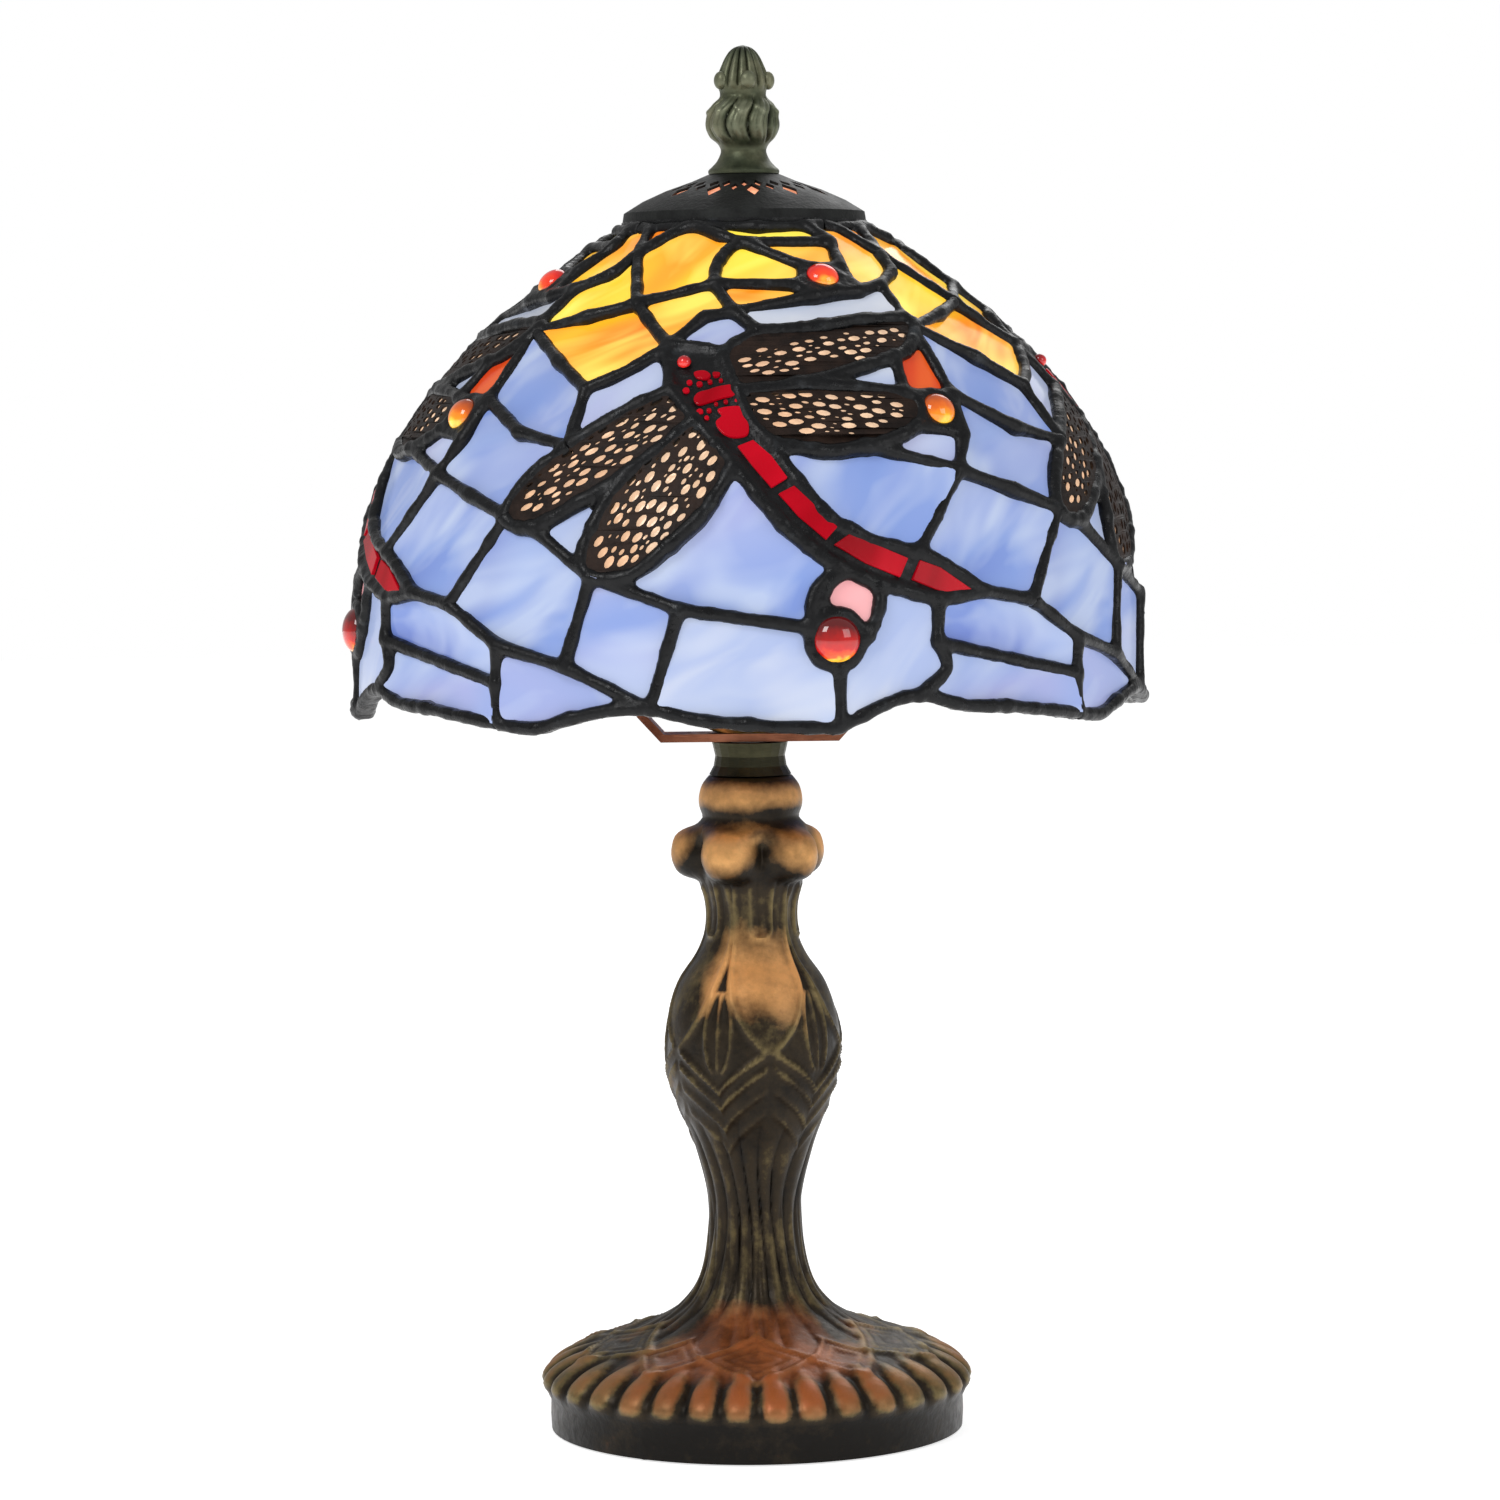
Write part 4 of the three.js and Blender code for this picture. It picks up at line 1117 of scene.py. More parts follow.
def dome_patch(name: str, outline: Sequence[Point2], low: float, high: float,
               pitch: float) -> Piece:
    """Makes a plate that follows the dome inside an outline.

    Args:
        name: Name of the new piece.
        outline: The plate's outline on the dome.
        low: Offset of its inner face in millimetres.
        high: Offset of its outer face in millimetres.
        pitch: Size of its cells in millimetres.

    Returns:
        The new piece.
    """
    ring = np.array(outline)
    middle = tuple((ring.max(0) + ring.min(0)) / 2)
    flat = np.array([DOME.flat(tuple(p), middle) for p in ring])
    width, depth = (flat.max(0) - flat.min(0)) + 2 * pitch
    deselect_all()
    bpy.ops.mesh.primitive_grid_add(
        x_subdivisions=max(2, round(width / pitch)), y_subdivisions=max(2, round(depth / pitch)), size=1.0,
    )
    piece = bpy.context.object
    piece.name = name
    grid = coordinates(piece)[:, :2] * (width, depth) + (flat.max(0) + flat.min(0)) / 2
    keep = inside(grid, [tuple(p) for p in flat])
    edit(piece, "DESELECT")
    leave_edit()
    piece.data.vertices.foreach_set("select", ~keep)
    bpy.ops.object.mode_set(mode="EDIT")
    bpy.ops.mesh.delete(type="VERT")
    leave_edit()
    places = [DOME.unflat(tuple(step), middle) for step in grid[keep]]
    reshape(piece, np.array([DOME.point(*place, high) for place in places]))
    apply_modifier(piece, "SOLIDIFY", thickness=(high - low) * MM, offset=-1.0)
    return piece


@dataclass
class Pane:
    """One flat pane of sheet glass, cut to its place in the cartoon."""

    name: str
    outline: list[Point2]
    lean: float
    tone: float
    proud: float = -0.2
    thick: float = 2.3

    def build(self) -> Piece:
        """Cuts the pane flat, gives it its thickness and lays its streaks.

        Returns:
            The pane, in place.
        """
        corners = np.array([DOME.point(*place, self.proud) for place in self.outline])
        centre = corners.mean(0)
        normal = np.linalg.svd(corners - centre)[2][2]
        normal *= np.sign(normal @ (centre * (1, 1, 0) + (0, 0, 0.02)))
        flat = corners - np.outer((corners - centre) @ normal, normal)
        piece = loop_of(self.name, flat)
        edit(piece)
        bpy.ops.mesh.extrude_region_move(
            TRANSFORM_OT_translate={"value": tuple(-normal * self.thick * MM)},
        )
        bpy.ops.mesh.select_all(action="SELECT")
        bpy.ops.mesh.normals_make_consistent(inside=False)
        leave_edit()
        self.lay_streaks(piece, centre, normal)
        attribute(piece, "tone", np.full(len(piece.data.vertices), self.tone))
        return piece

    def lay_streaks(self, piece: Piece, centre: np.ndarray, normal: np.ndarray) -> None:
        """Maps the pane flat, turned by its streaks' lean and shifted to its own bit of sheet.

        Args:
            piece: The pane.
            centre: Its middle.
            normal: The way it faces.
        """
        across = np.cross((0.0, 0.0, 1.0), normal)
        across /= np.linalg.norm(across)
        lean = math.radians(self.lean)
        along = math.cos(lean) * across + math.sin(lean) * np.cross(normal, across)
        beside = np.cross(normal, along)
        points = coordinates(piece) - centre
        mapped = np.stack([points @ beside, points @ along], 1) + (self.tone * 3.1, self.lean * 0.01)
        layer = piece.data.uv_layers.new(name="UVMap")
        corner_of = np.empty(len(piece.data.loops), int)
        piece.data.loops.foreach_get("vertex_index", corner_of)
        layer.data.foreach_set("uv", mapped[corner_of].ravel())


@dataclass
class Wing:
    """One wing: a blackened sheet pierced with ovals, over pale glass."""

    name: str
    walk: str
    holes: tuple[Point2, ...]
    root: Point2
    tip: Point2
    oval: tuple[float, float] = (1.2, 0.62)
    gap: float = 0.34
    sizes: tuple[float, ...] = (1.55, 1.15, 0.88, 0.68, 0.54)
    throws: int = 130
    sheet: tuple[float, float] = (0.6, 1.15)
    glass: tuple[float, float] = (-2.4, -0.4)

    def ovals(self) -> list[list[Point2]]:
        """Scatters ovals that lie along the wing, larger ones first, none touching another.

        Returns:
            One outline for each hole, on the dome.
        """
        rng = np.random.default_rng(len(self.name) + int(10 * self.tip[1]))
        border = np.array([DOME.flat(p, self.root) for p in smooth_run(self.holes, closed=True)])
        tip = np.array(DOME.flat(self.tip, self.root))
        along = tip / np.linalg.norm(tip)
        axes = np.stack([along, (-along[1], along[0])])
        own = border @ axes.T
        placed = np.empty((0, 3))
        for size in self.sizes:
            for throw in rng.uniform(own.min(0), own.max(0), (self.throws, 2)):
                steps = np.hypot(*((placed[:, :2] - throw) / self.oval).T)
                if (steps < placed[:, 2] + size + self.gap).any():
                    continue
                if inside(throw[None], [tuple(p) for p in own])[0]:
                    placed = np.vstack([placed, (*throw, size * rng.uniform(0.86, 1.0))])
        rings = []
        for s, t, size in placed:
            swing = rng.uniform(-0.22, 0.22)
            angles = [TURN * k / 10 for k in range(10)]
            edge = [(s + math.cos(a) * self.oval[0] * size - math.sin(a) * swing * size,
                     t + math.sin(a) * self.oval[1] * size + math.cos(a) * swing * size) for a in angles]
            rings.append([DOME.unflat(tuple(np.array(p) @ axes), self.root) for p in edge])
        return rings

    def build(self, cartoon: Cartoon) -> tuple[Piece, Piece]:
        """Cuts and pierces the sheet and lays the glass under it.

        Args:
            cartoon: The drawing that holds the wing's outline.

        Returns:
            The sheet and the glass.
        """
        outline = cartoon.outline(self.walk)
        data = bpy.data.curves.new(self.name, "CURVE")
        data.dimensions = "2D"
        data.fill_mode = "BOTH"
        data.extrude = 0.5
        for ring in [outline, *self.ovals()]:
            spline = data.splines.new("POLY")
            spline.points.add(len(ring) - 1)
            spline.points.foreach_set("co", [v for x, y in ring for v in (x, y, 0.0, 1.0)])
            spline.use_cyclic_u = True
        sheet = bpy.data.objects.new(self.name, data)
        bpy.context.scene.collection.objects.link(sheet)
        take(sheet)
        bpy.ops.object.convert(target="MESH")
        sheet = bpy.context.object
        edit(sheet)
        bpy.ops.mesh.remove_doubles(threshold=1e-4)
        leave_edit()
        reshape(sheet, np.array([
            DOME.point(x, y, self.sheet[1] if z > 0 else self.sheet[0]) for x, y, z in coordinates(sheet)
        ]))
        edit(sheet)
        bpy.ops.mesh.normals_make_consistent(inside=False)
        leave_edit()
        glass = dome_patch(self.name + "_glass", outline, *self.glass, 2.0)
        return sheet, glass


@dataclass
class Cabochon:
    """A pressed glass jewel, domed and set on the shade."""

    name: str
    place: Point2
    radius: float
    bulge: float
    lift: float = 0.4

    def build(self) -> Piece:
        """Presses the jewel and turns it to face out of the dome.

        Returns:
            The jewel, with its height in the setting stored as depth, which sets its painted light: bright
            at the foot, dark at the top.
        """
        deselect_all()
        bpy.ops.mesh.primitive_uv_sphere_add(segments=40, ring_count=20, radius=1.0)
        piece = bpy.context.object
        piece.name = self.name
        ball = coordinates(piece)
        # depth carries painted light: low in the jewel it reads bright, high in it dark.
        attribute(piece, "depth", 0.5 + 0.5 * ball[:, 1] + 0.1 * (1 - ball[:, 2]))
        ball[:, 2] = np.where(ball[:, 2] > 0, ball[:, 2] * self.bulge, ball[:, 2] * 0.45) / self.radius
        outward, upward = DOME.normal(self.place[1])
        a = math.radians(self.place[0])
        normal = np.array((outward * math.sin(a), -outward * math.cos(a), upward))
        across = np.array((math.cos(a), math.sin(a), 0.0))
        axes = np.stack([across, np.cross(normal, across), normal])
        reshape(piece, ball * self.radius * MM @ axes + np.array(DOME.point(*self.place, self.lift)))
        take(piece)
        bpy.ops.object.shade_smooth()
        return piece


@dataclass
class Solderwork:
    """The beads of solder over every joint between panes, with the pads that the jewels stand in."""

    outer: float = -0.15
    inner: float = -2.2
    stride: float = 3.5
    voxel: float = 0.72
    ring_steps: int = 24

    def tube(self, data: bpy.types.Curve, line: Sequence[Point2], bead: Bead,
             rng: np.random.Generator) -> None:
        """Adds an outer and an inner bead of uneven width along a line.

        Args:
            data: The curve that takes them.
            line: The line on the dome.
            bead: The bead's half width.
            rng: Source of the unevenness.
        """
        for offset, share in ((self.outer, 1.0), (self.inner, 0.95)):
            path = [DOME.point(x, y, offset) for x, y in line]
            if len(path) == 2:
                cuts = max(1, round((path[1] - path[0]).length / (self.stride * MM)))
                path = [path[0].lerp(path[1], k / cuts) for k in range(cuts + 1)]
            spline = data.splines.new("POLY")
            spline.points.add(len(path) - 1)
            for k, (point, place) in enumerate(zip(spline.points, path)):
                fuller = 1.22 if k in (0, len(path) - 1) else 1.0 + rng.uniform(-0.1, 0.12)
                point.co = (*place, 1.0)
                point.radius = bead.value * share * fuller

    def build(self, cartoon: Cartoon, walks: Sequence[str],
              rings: Sequence[tuple[Point2, float, float]]) -> Piece:
        """Runs the beads for one quarter and melts them into one body.

        Args:
            cartoon: The drawing.
            walks: Walks of all panes, wings and pads.
            rings: Place, radius and share of a full turn of each jewel's setting and of the arch
                over the pink pane.

        Returns:
            The quarter's solder.
        """
        rng = np.random.default_rng(5)
        data = bpy.data.curves.new("solder", "CURVE")
        data.dimensions = "3D"
        data.bevel_depth = MM
        data.bevel_resolution = 2
        data.use_fill_caps = True
        for line, bead in cartoon.leads(walks):
            self.tube(data, line, bead, rng)
        for place, radius, share in rings:
            angles = (share * TURN * k / self.ring_steps for k in range(self.ring_steps + 1))
            self.tube(data, DOME.ring(place, radius, angles), Bead.FIELD, rng)
        work = bpy.data.objects.new("solder_1", data)
        bpy.context.scene.collection.objects.link(work)
        take(work)
        bpy.ops.object.convert(target="MESH")
        pads = [dome_patch(f"pad_{k}", cartoon.outline(walk), self.inner - 0.6, 0.6, 1.6)
                for k, walk in enumerate(PADS)]
        work = joined("solder_1", [bpy.context.view_layer.objects["solder_1"], *pads])
        apply_modifier(work, "REMESH", mode="VOXEL", voxel_size=self.voxel * MM, adaptivity=0.0)
        apply_modifier(work, "SMOOTH", factor=0.5, iterations=2)
        lumps = bpy.data.textures.new("solder_lumps", "CLOUDS")
        lumps.noise_scale = 5 * MM
        apply_modifier(work, "DISPLACE", texture=lumps, strength=0.45 * MM, mid_level=0.5)
        take(work)
        bpy.ops.object.shade_smooth()
        return work


WINGS = (
    Wing("wing_upper_right",
         "wingShoulder headRight chestRight armpitRight upperWingLow cornerEast wingTipUpper upperWingEdge",
         ((-2, 270), (0.5, 271.2), (10, 273.5), (20, 275.4), (29, 276.7), (34.4, 276.2), (35.2, 274.8),
          (28, 273), (22, 269.2), (15, 270), (7, 266.3), (1, 266.2)), (-3, 268), (36, 277.5)),
    Wing("wing_lower_right",
         "chestRight hip lowerWingLow lowerWingTip lowerWingTop armpitRight",
         ((0, 261), (6, 261.5), (14, 261.4), (22, 261), (26.8, 258.6), (25.6, 255.6), (20, 252.8),
          (15, 251.9), (10, 252.6), (5, 253.8), (1.2, 256.3)), (-1, 259), (28, 256.5)),
    Wing("wing_upper_left",
         "shoulderLeft leftWingTop leftWingTip leftWingUnder leftCrotch armpitLeft",
         ((-12.3, 261), (-18, 258.3), (-24, 253), (-29.5, 247), (-34, 240.5), (-35.3, 235.6),
          (-31.6, 234.5), (-26.4, 239), (-22, 243), (-17.4, 247.5), (-12.2, 254)),
         (-10, 260), (-35.5, 236)),
    Wing("wing_lower_left",
         "armpitLeft leftCrotch lowWingOuter lowWingTip lowWingInner tailRoot waistLeft",
         ((-8.6, 253.2), (-13.5, 248), (-17.5, 241.5), (-19.6, 235), (-21.4, 229), (-20.6, 223.6),
          (-17.2, 222.6), (-12.6, 227), (-9.6, 232.6), (-6.5, 238.6), (-4.7, 245)),
         (-6.5, 251), (-18.5, 223)),
)

# Red glass on the black body: rounded blobs of the thorax, in azimuth and height.
THORAX_REDS: tuple[tuple[Point2, ...], ...] = (
    ((-9.3, 266.5), (-7.5, 266.9), (-6.3, 265.9), (-6.9, 264.9), (-8.6, 265.2)),
    ((-5.9, 266.5), (-4.7, 266.4), (-4.8, 265.6), (-5.7, 265.5)),
    ((-8.2, 261.7), (-6.5, 262.4), (-4.6, 263.2), (-2, 263.4), (-1.7, 261.2), (-3.9, 260.5),
     (-6.2, 259.5), (-7.8, 258.9), (-8.8, 260.1)),
    ((-4.7, 257.7), (-3.0, 258.4), (-0.8, 258.3), (-0.6, 256.4), (0.3, 254.4), (0.1, 251.9), (-2.0, 251.3),
     (-3.8, 252.4), (-4.9, 254.8), (-4.0, 256.3)),
)
# Small round dabs between the blobs: azimuth, height and radius.
THORAX_DABS: tuple[tuple[float, float, float], ...] = (
    (-9.9, 264.2, 0.7), (-10.3, 262.3, 0.85), (-8.1, 263.8, 0.75), (-6.3, 264.3, 0.6), (-4.4, 264.6, 0.5),
    (-9.6, 258.4, 0.6), (-7.6, 257.3, 0.85), (-6.1, 257.6, 0.6), (-5.0, 259.1, 0.5), (-3.4, 259.6, 0.55),
    (-1.6, 259.8, 0.5), (-6.4, 255.9, 0.6),
)
# The tail's straight-edged segments.
TAIL_REDS: tuple[tuple[Point2, ...], ...] = (
    ((-1.4, 249.2), (1.0, 250.6), (3.7, 247), (5.9, 241.9), (3.5, 239.7), (0.9, 244.6)),
    ((4.5, 238.2), (6.8, 240), (10, 235), (12.6, 230.4), (10.9, 227.6), (7.2, 233)),
    ((12, 226.4), (14.2, 228.7), (18.2, 226.1), (22.5, 222.9), (21.1, 218.6), (16.3, 222)),
    ((22.9, 218), (24.3, 222.4), (27.4, 220.6), (32, 215.3), (27.4, 214.9)),
)


@dataclass
class Shade:
    """The leaded shade: panes, wings, bodies, jewels and solder, made for one quarter and copied."""

    cartoon: Cartoon = field(default_factory=Cartoon)
    coral: Cabochon = field(default_factory=lambda: Cabochon("crown_cabochon", (21.5, 289.6), 4.1, 3.0))
    honey: Cabochon = field(default_factory=lambda: Cabochon("amber_cabochon", (33.6, 257.4), 4.3, 3.2))
    ruby: Cabochon = field(default_factory=lambda: Cabochon("ruby_cabochon", (11.9, 204.6), 5.6, 3.6))
    head: Cabochon = field(default_factory=lambda: Cabochon("head_bead", (-11.3, 268.6), 1.7, 1.6, 1.6))
    setting: float = 0.7
    arch: Point2 = (14.2, 213.0)
    arch_radius: float = 6.9
    arch_share: float = 0.5
    red_proud: float = 1.3
    red_thick: float = 1.6
    red_bevel: float = 0.45
    red_lean: float = 60.0

    def build_panes(self) -> dict[Glass, Piece]:
        """Cuts the quarter's panes and joins those of one glass.

        Returns:
            One piece for each glass.
        """
        cut: dict[Glass, list[Piece]] = {kind: [] for kind in Glass}
        for name, (kind, lean, tone, walk) in PANES.items():
            cut[kind].append(Pane(name, self.cartoon.outline(walk), lean, tone).build())
        return {kind: joined(f"{kind.value}_panes", panes) for kind, panes in cut.items()}

    def build_reds(self) -> Piece:
        """Cuts the red glass of the dragonfly's body.

        Returns:
            All of it as one piece.
        """
        tenths = [TURN * k / 10 for k in range(10)]
        dabs = [DOME.ring((x, z), radius, tenths) for x, z, radius in THORAX_DABS]
        blobs = [smooth_run(blob, closed=True, steps=4) for blob in THORAX_REDS]
        cut = []
        for k, line in enumerate([*blobs, *map(list, TAIL_REDS), *dabs]):
            tone = 0.3 + 0.45 * (k % 5) / 4
            cut.append(Pane(f"red_{k}", line, self.red_lean, tone, self.red_proud, self.red_thick).build())
        whole = joined("body_reds", cut)
        apply_modifier(whole, "BEVEL", width=self.red_bevel * MM, segments=2, limit_method="ANGLE")
        return whole

    def build_wings(self) -> tuple[Piece, Piece]:
        """Pierces the four wing sheets and lays their glass.

        Returns:
            The sheets as one piece, and the glass as another.
        """
        pairs = [wing.build(self.cartoon) for wing in WINGS]
        glass = joined("wing_glass", [pair[1] for pair in pairs])
        attribute(glass, "tone", np.full(len(glass.data.vertices), 0.5))
        edit(glass)
        bpy.ops.uv.cube_project(cube_size=1.0)
        leave_edit()
        return joined("wing_sheets", [pair[0] for pair in pairs]), glass

    def spread(self, piece: Piece, finish: Finish, nodes: Sequence[str]) -> None:
        """Dresses a quarter's piece, copies it round the shade and fixes all four to the shade.

        Args:
            piece: The piece of the first quarter.
            finish: Its finish.
            nodes: CAD nodes that it stands for, without their quarter's number.
        """
        finish.dress(piece)
        stem = piece.name.removesuffix("_1")
        piece.name = f"{stem}_1"
        for quarter in range(QUARTERS):
            copy = quarter_copy(piece, f"{stem}_{quarter + 1}", quarter) if quarter else piece
            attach(copy, "shade")
            if nodes:
                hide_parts(*(f"{node}_{quarter + 1}" for node in nodes))
            note(copy)

    def build(self) -> None:
        """Makes the whole shade."""
        stands_for = {Glass.AMBER: ["crown_glass"], Glass.BLUE: ["field_glass"]}
        for kind, panes in self.build_panes().items():
            self.spread(panes, PANE_GLASS[kind], stands_for.get(kind, ["field_glass"]))
        self.spread(self.build_reds(), RED, ["dragonfly_body"])
        sheets, glass = self.build_wings()
        self.spread(sheets, FILIGREE, ["wings_left", "wings_right"])
        self.spread(glass, PEACH, ["wings_left", "wings_right"])
        jewels = (
            (self.coral, CORAL, "crown_jewel"), (self.honey, HONEY, "amber_jewel"),
            (self.ruby, RUBY, "ruby_jewel"), (self.head, RED_BEAD, "dragonfly_body"),
        )
        for jewel, finish, node in jewels:
            self.spread(jewel.build(), finish, [node])
        walks = [walk for _, _, _, walk in PANES.values()] + [wing.walk for wing in WINGS]
        rings = [(j.place, j.radius + self.setting, 1.0) for j in (self.coral, self.honey, self.ruby)]
        rings.append((self.arch, self.arch_radius, self.arch_share))
        solder = Solderwork().build(self.cartoon, walks, rings)
        self.spread(solder, SOLDER, [])
        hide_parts("solder_lattice", "rim_wire")


# ---- the cast base -------------------------------------------------------------------------------


def ridge(distance: np.ndarray, width: float) -> np.ndarray:
    """Returns a rounded ridge of height 1 where distance is 0."""
    return np.exp(-(distance / width) ** 2)


def ease(value: np.ndarray, low: float, high: float) -> np.ndarray:
    """Returns a smooth step from 0 at low to 1 at high."""
    t = np.clip((value - low) / (high - low), 0.0, 1.0)
    return t * t * (3 - 2 * t)


def band(value: np.ndarray, low: float, high: float, soft: float) -> np.ndarray:
    """Returns 1 between low and high, with soft edges."""
    return ease(value, low - soft, low + soft) * (1 - ease(value, high - soft, high + soft))


def even_run(corners: Sequence[Point2], spacing: float) -> list[Point2]:
    """Runs a smooth line through corners and spaces its points evenly.

    Args:
        corners: Corners in millimetres.
        spacing: Distance between points.

    Returns:
        The points, both ends kept.
    """
    line = np.array(smooth_run(corners, steps=12))
    along = np.concatenate([[0.0], np.cumsum(np.hypot(*np.diff(line, axis=0).T))])
    count = max(2, round(along[-1] / spacing))
    at = np.linspace(0.0, along[-1], count + 1)
    return list(zip(np.interp(at, along, line[:, 0]), np.interp(at, along, line[:, 1])))


@dataclass
class CastBase:
    """The foot and column, cast in one with leaf and reed relief."""

    wall: tuple[Point2, ...] = ((52.3, 0.4), (52.5, 4), (52.4, 8), (53.2, 9.6))
    skin: tuple[Point2, ...] = (
        (53.2, 9.6), (53.4, 12), (52.2, 14.6), (48.2, 17.5), (41.3, 21), (32.2, 24), (24, 27.6),
        (17.9, 32), (14.5, 37), (12.4, 44), (11.4, 54), (12.1, 62), (14.9, 72.5), (19, 82.5),
        (21.6, 92), (21.3, 103), (18.3, 113), (13.4, 120.5), (11.1, 126.5), (10.8, 133),
        (12.4, 138.5), (16.0, 142), (17.8, 146), (16.4, 151), (13.2, 154.2), (12.2, 155.6),
        (13.0, 158.2), (13.1, 160.6), (12.3, 163.6), (10.6, 165.9),
    )
    cavity: tuple[Point2, ...] = (
        (5.3, 166), (5.3, 30), (14, 30), (29, 20.8), (38, 17.8), (45, 14.3), (49.1, 0.4),
    )
    spacing: float = 0.95
    steps: int = 300
    leaves: int = 5
    leaf_turn: float = 11.5
    lobes: int = 5
    lobe_turn: float = 11.5
    beads: int = 34

    def knob(self, turn: np.ndarray, level: np.ndarray) -> np.ndarray:
        """Returns the knob's lobes, in millimetres; a lobe stands either side of the front."""
        wave = np.abs(np.cos(self.lobes / 2 * (turn - np.radians(self.lobe_turn) - math.pi / self.lobes)))
        return (2.6 - 6.6 * (1 - wave ** 1.1)) * band(level, 141.0, 151.6, 2.4)

    def leafwork(self, turn: np.ndarray, level: np.ndarray) -> np.ndarray:
        """Works out the petals, small leaves and nested veins of the vase.

        Args:
            turn: Angle from the front of each point, in radians.
            level: Height of each point in millimetres.

        Returns:
            How far each point stands out, in millimetres.
        """
        period = TURN / self.leaves
        off = (turn - math.radians(self.leaf_turn) + period / 2) % period - period / 2
        side = period / 2 - np.abs(off)
        edge = np.interp(level, (97, 99.5, 103, 107, 113, 119.5, 126, 134, 141),
                         (0.0, 0.13, 0.27, 0.39, 0.5, 0.56, 0.6, 0.6, 0.52))
        across = np.interp(level, (60, 80, 95, 110, 120, 130), (12, 17, 21.5, 19, 14, 11))
        gap = (np.abs(off) - edge) * across
        on_petal = ease(-gap, -0.2, 1.2) * band(level, 98, 138, 1.5)
        height = 0.35 * on_petal + 0.95 * ridge(gap, 0.75) * band(level, 97.5, 139, 1.5)
        tongue = np.hypot(off * 10.8, np.minimum(level - 128, 0)) - 2.6
        height += 0.6 * ridge(tongue, 0.55) * band(level, 125, 139, 0.5)
        leaf = np.abs(side * across) - 3.4 * np.sqrt(np.clip(1 - ((level - 102.5) / 10.5) ** 2, 0, 1))
        within = band(level, 92.5, 112.5, 0.6)
        height += 0.75 * ridge(leaf, 0.55) * within + 0.5 * ridge(side * across, 0.5) * within
        vein = level - (86.5 + 11.0 * (side / (period / 2)) ** 0.8)
        veins = np.zeros_like(level)
        for step, strength in ((0.0, 0.95), (4.2, 0.8), (9.6, 0.6), (15.5, 0.4)):
            veins += strength * ridge(vein + step - 0.9, 0.9)
        height += veins * band(level, 66 + 8 * np.cos(3 * off), 101, 6) * ease(gap, 0.0, 1.6)
        return height

    def reeds(self, turn: np.ndarray, level: np.ndarray) -> np.ndarray:
        """Works out the upright reeds of the waist and the neck's fluting.

        Args:
            turn: Angle from the front of each point, in radians.
            level: Height of each point in millimetres.

        Returns:
            How far each point stands out, in millimetres.
        """
        sway = 0.10 * np.sin(level / 9.0 + 2 * turn)
        phase = 19 * (turn + sway) + 0.9 * np.sin(3 * turn)
        height = 0.85 * (np.abs(np.cos(phase / 2)) ** 0.7 - 0.5) * band(level, 27, 76, 8)
        fine = np.abs(np.cos(15 * (turn - 0.5 * sway))) ** 0.6 - 0.5
        return height + 0.3 * fine * band(level, 25, 58, 6) + 0.25 * fine * band(level, 127, 141, 3)

    def footwork(self, turn: np.ndarray, reach: np.ndarray, level: np.ndarray) -> np.ndarray:
        """Works out the foot's lozenges, flowing ridges and rim beads.

        Args:
            turn: Angle from the front of each point, in radians.
            reach: Distance of each point from the axis in millimetres.
            level: Height of each point in millimetres.

        Returns:
            How far each point stands out, in millimetres.
        """
        on_foot = 1 - ease(level, 27, 33)
        period = TURN / self.leaves
        off = (turn + period / 2) % period - period / 2
        spread = np.abs(off) / 0.4
        lozenge = spread + np.abs(reach - 35.5) / 10.5
        frames = ((1.0, 0.9), (0.68, 0.6), (0.36, 0.45))
        height = sum(s * ridge((lozenge - d) * 5.2, 0.62) for d, s in frames)
        outer = np.abs(np.abs(off) - period / 2) / 0.24 + np.abs(reach - 37) / 9.0
        height += sum(s * ridge((outer - d) * 4.2, 0.6) for d, s in ((1.0, 0.75), (0.6, 0.5)))
        flow = np.abs(np.cos(13 * turn + 2.4 * np.sin(5 * turn) * (reach / 40)))
        height += 0.75 * (flow ** 0.6 - 0.5) * band(reach, 19, 33, 4) * ease(lozenge, 0.9, 1.2)
        phase = (turn * self.beads / TURN + 0.12 * np.sin(3 * turn)) % 1.0 - 0.5
        girth = 1.3 + 2.4 * ease(reach, 38, 50)
        bead = np.clip(1 - (phase * TURN / self.beads * reach / girth) ** 2, 0, 1) ** 0.5
        height += 1.6 * bead * ease(reach, 37, 50) * ease(level, 9.8, 12.8)
        return height * on_foot * ease(level, 8.5, 10.5)

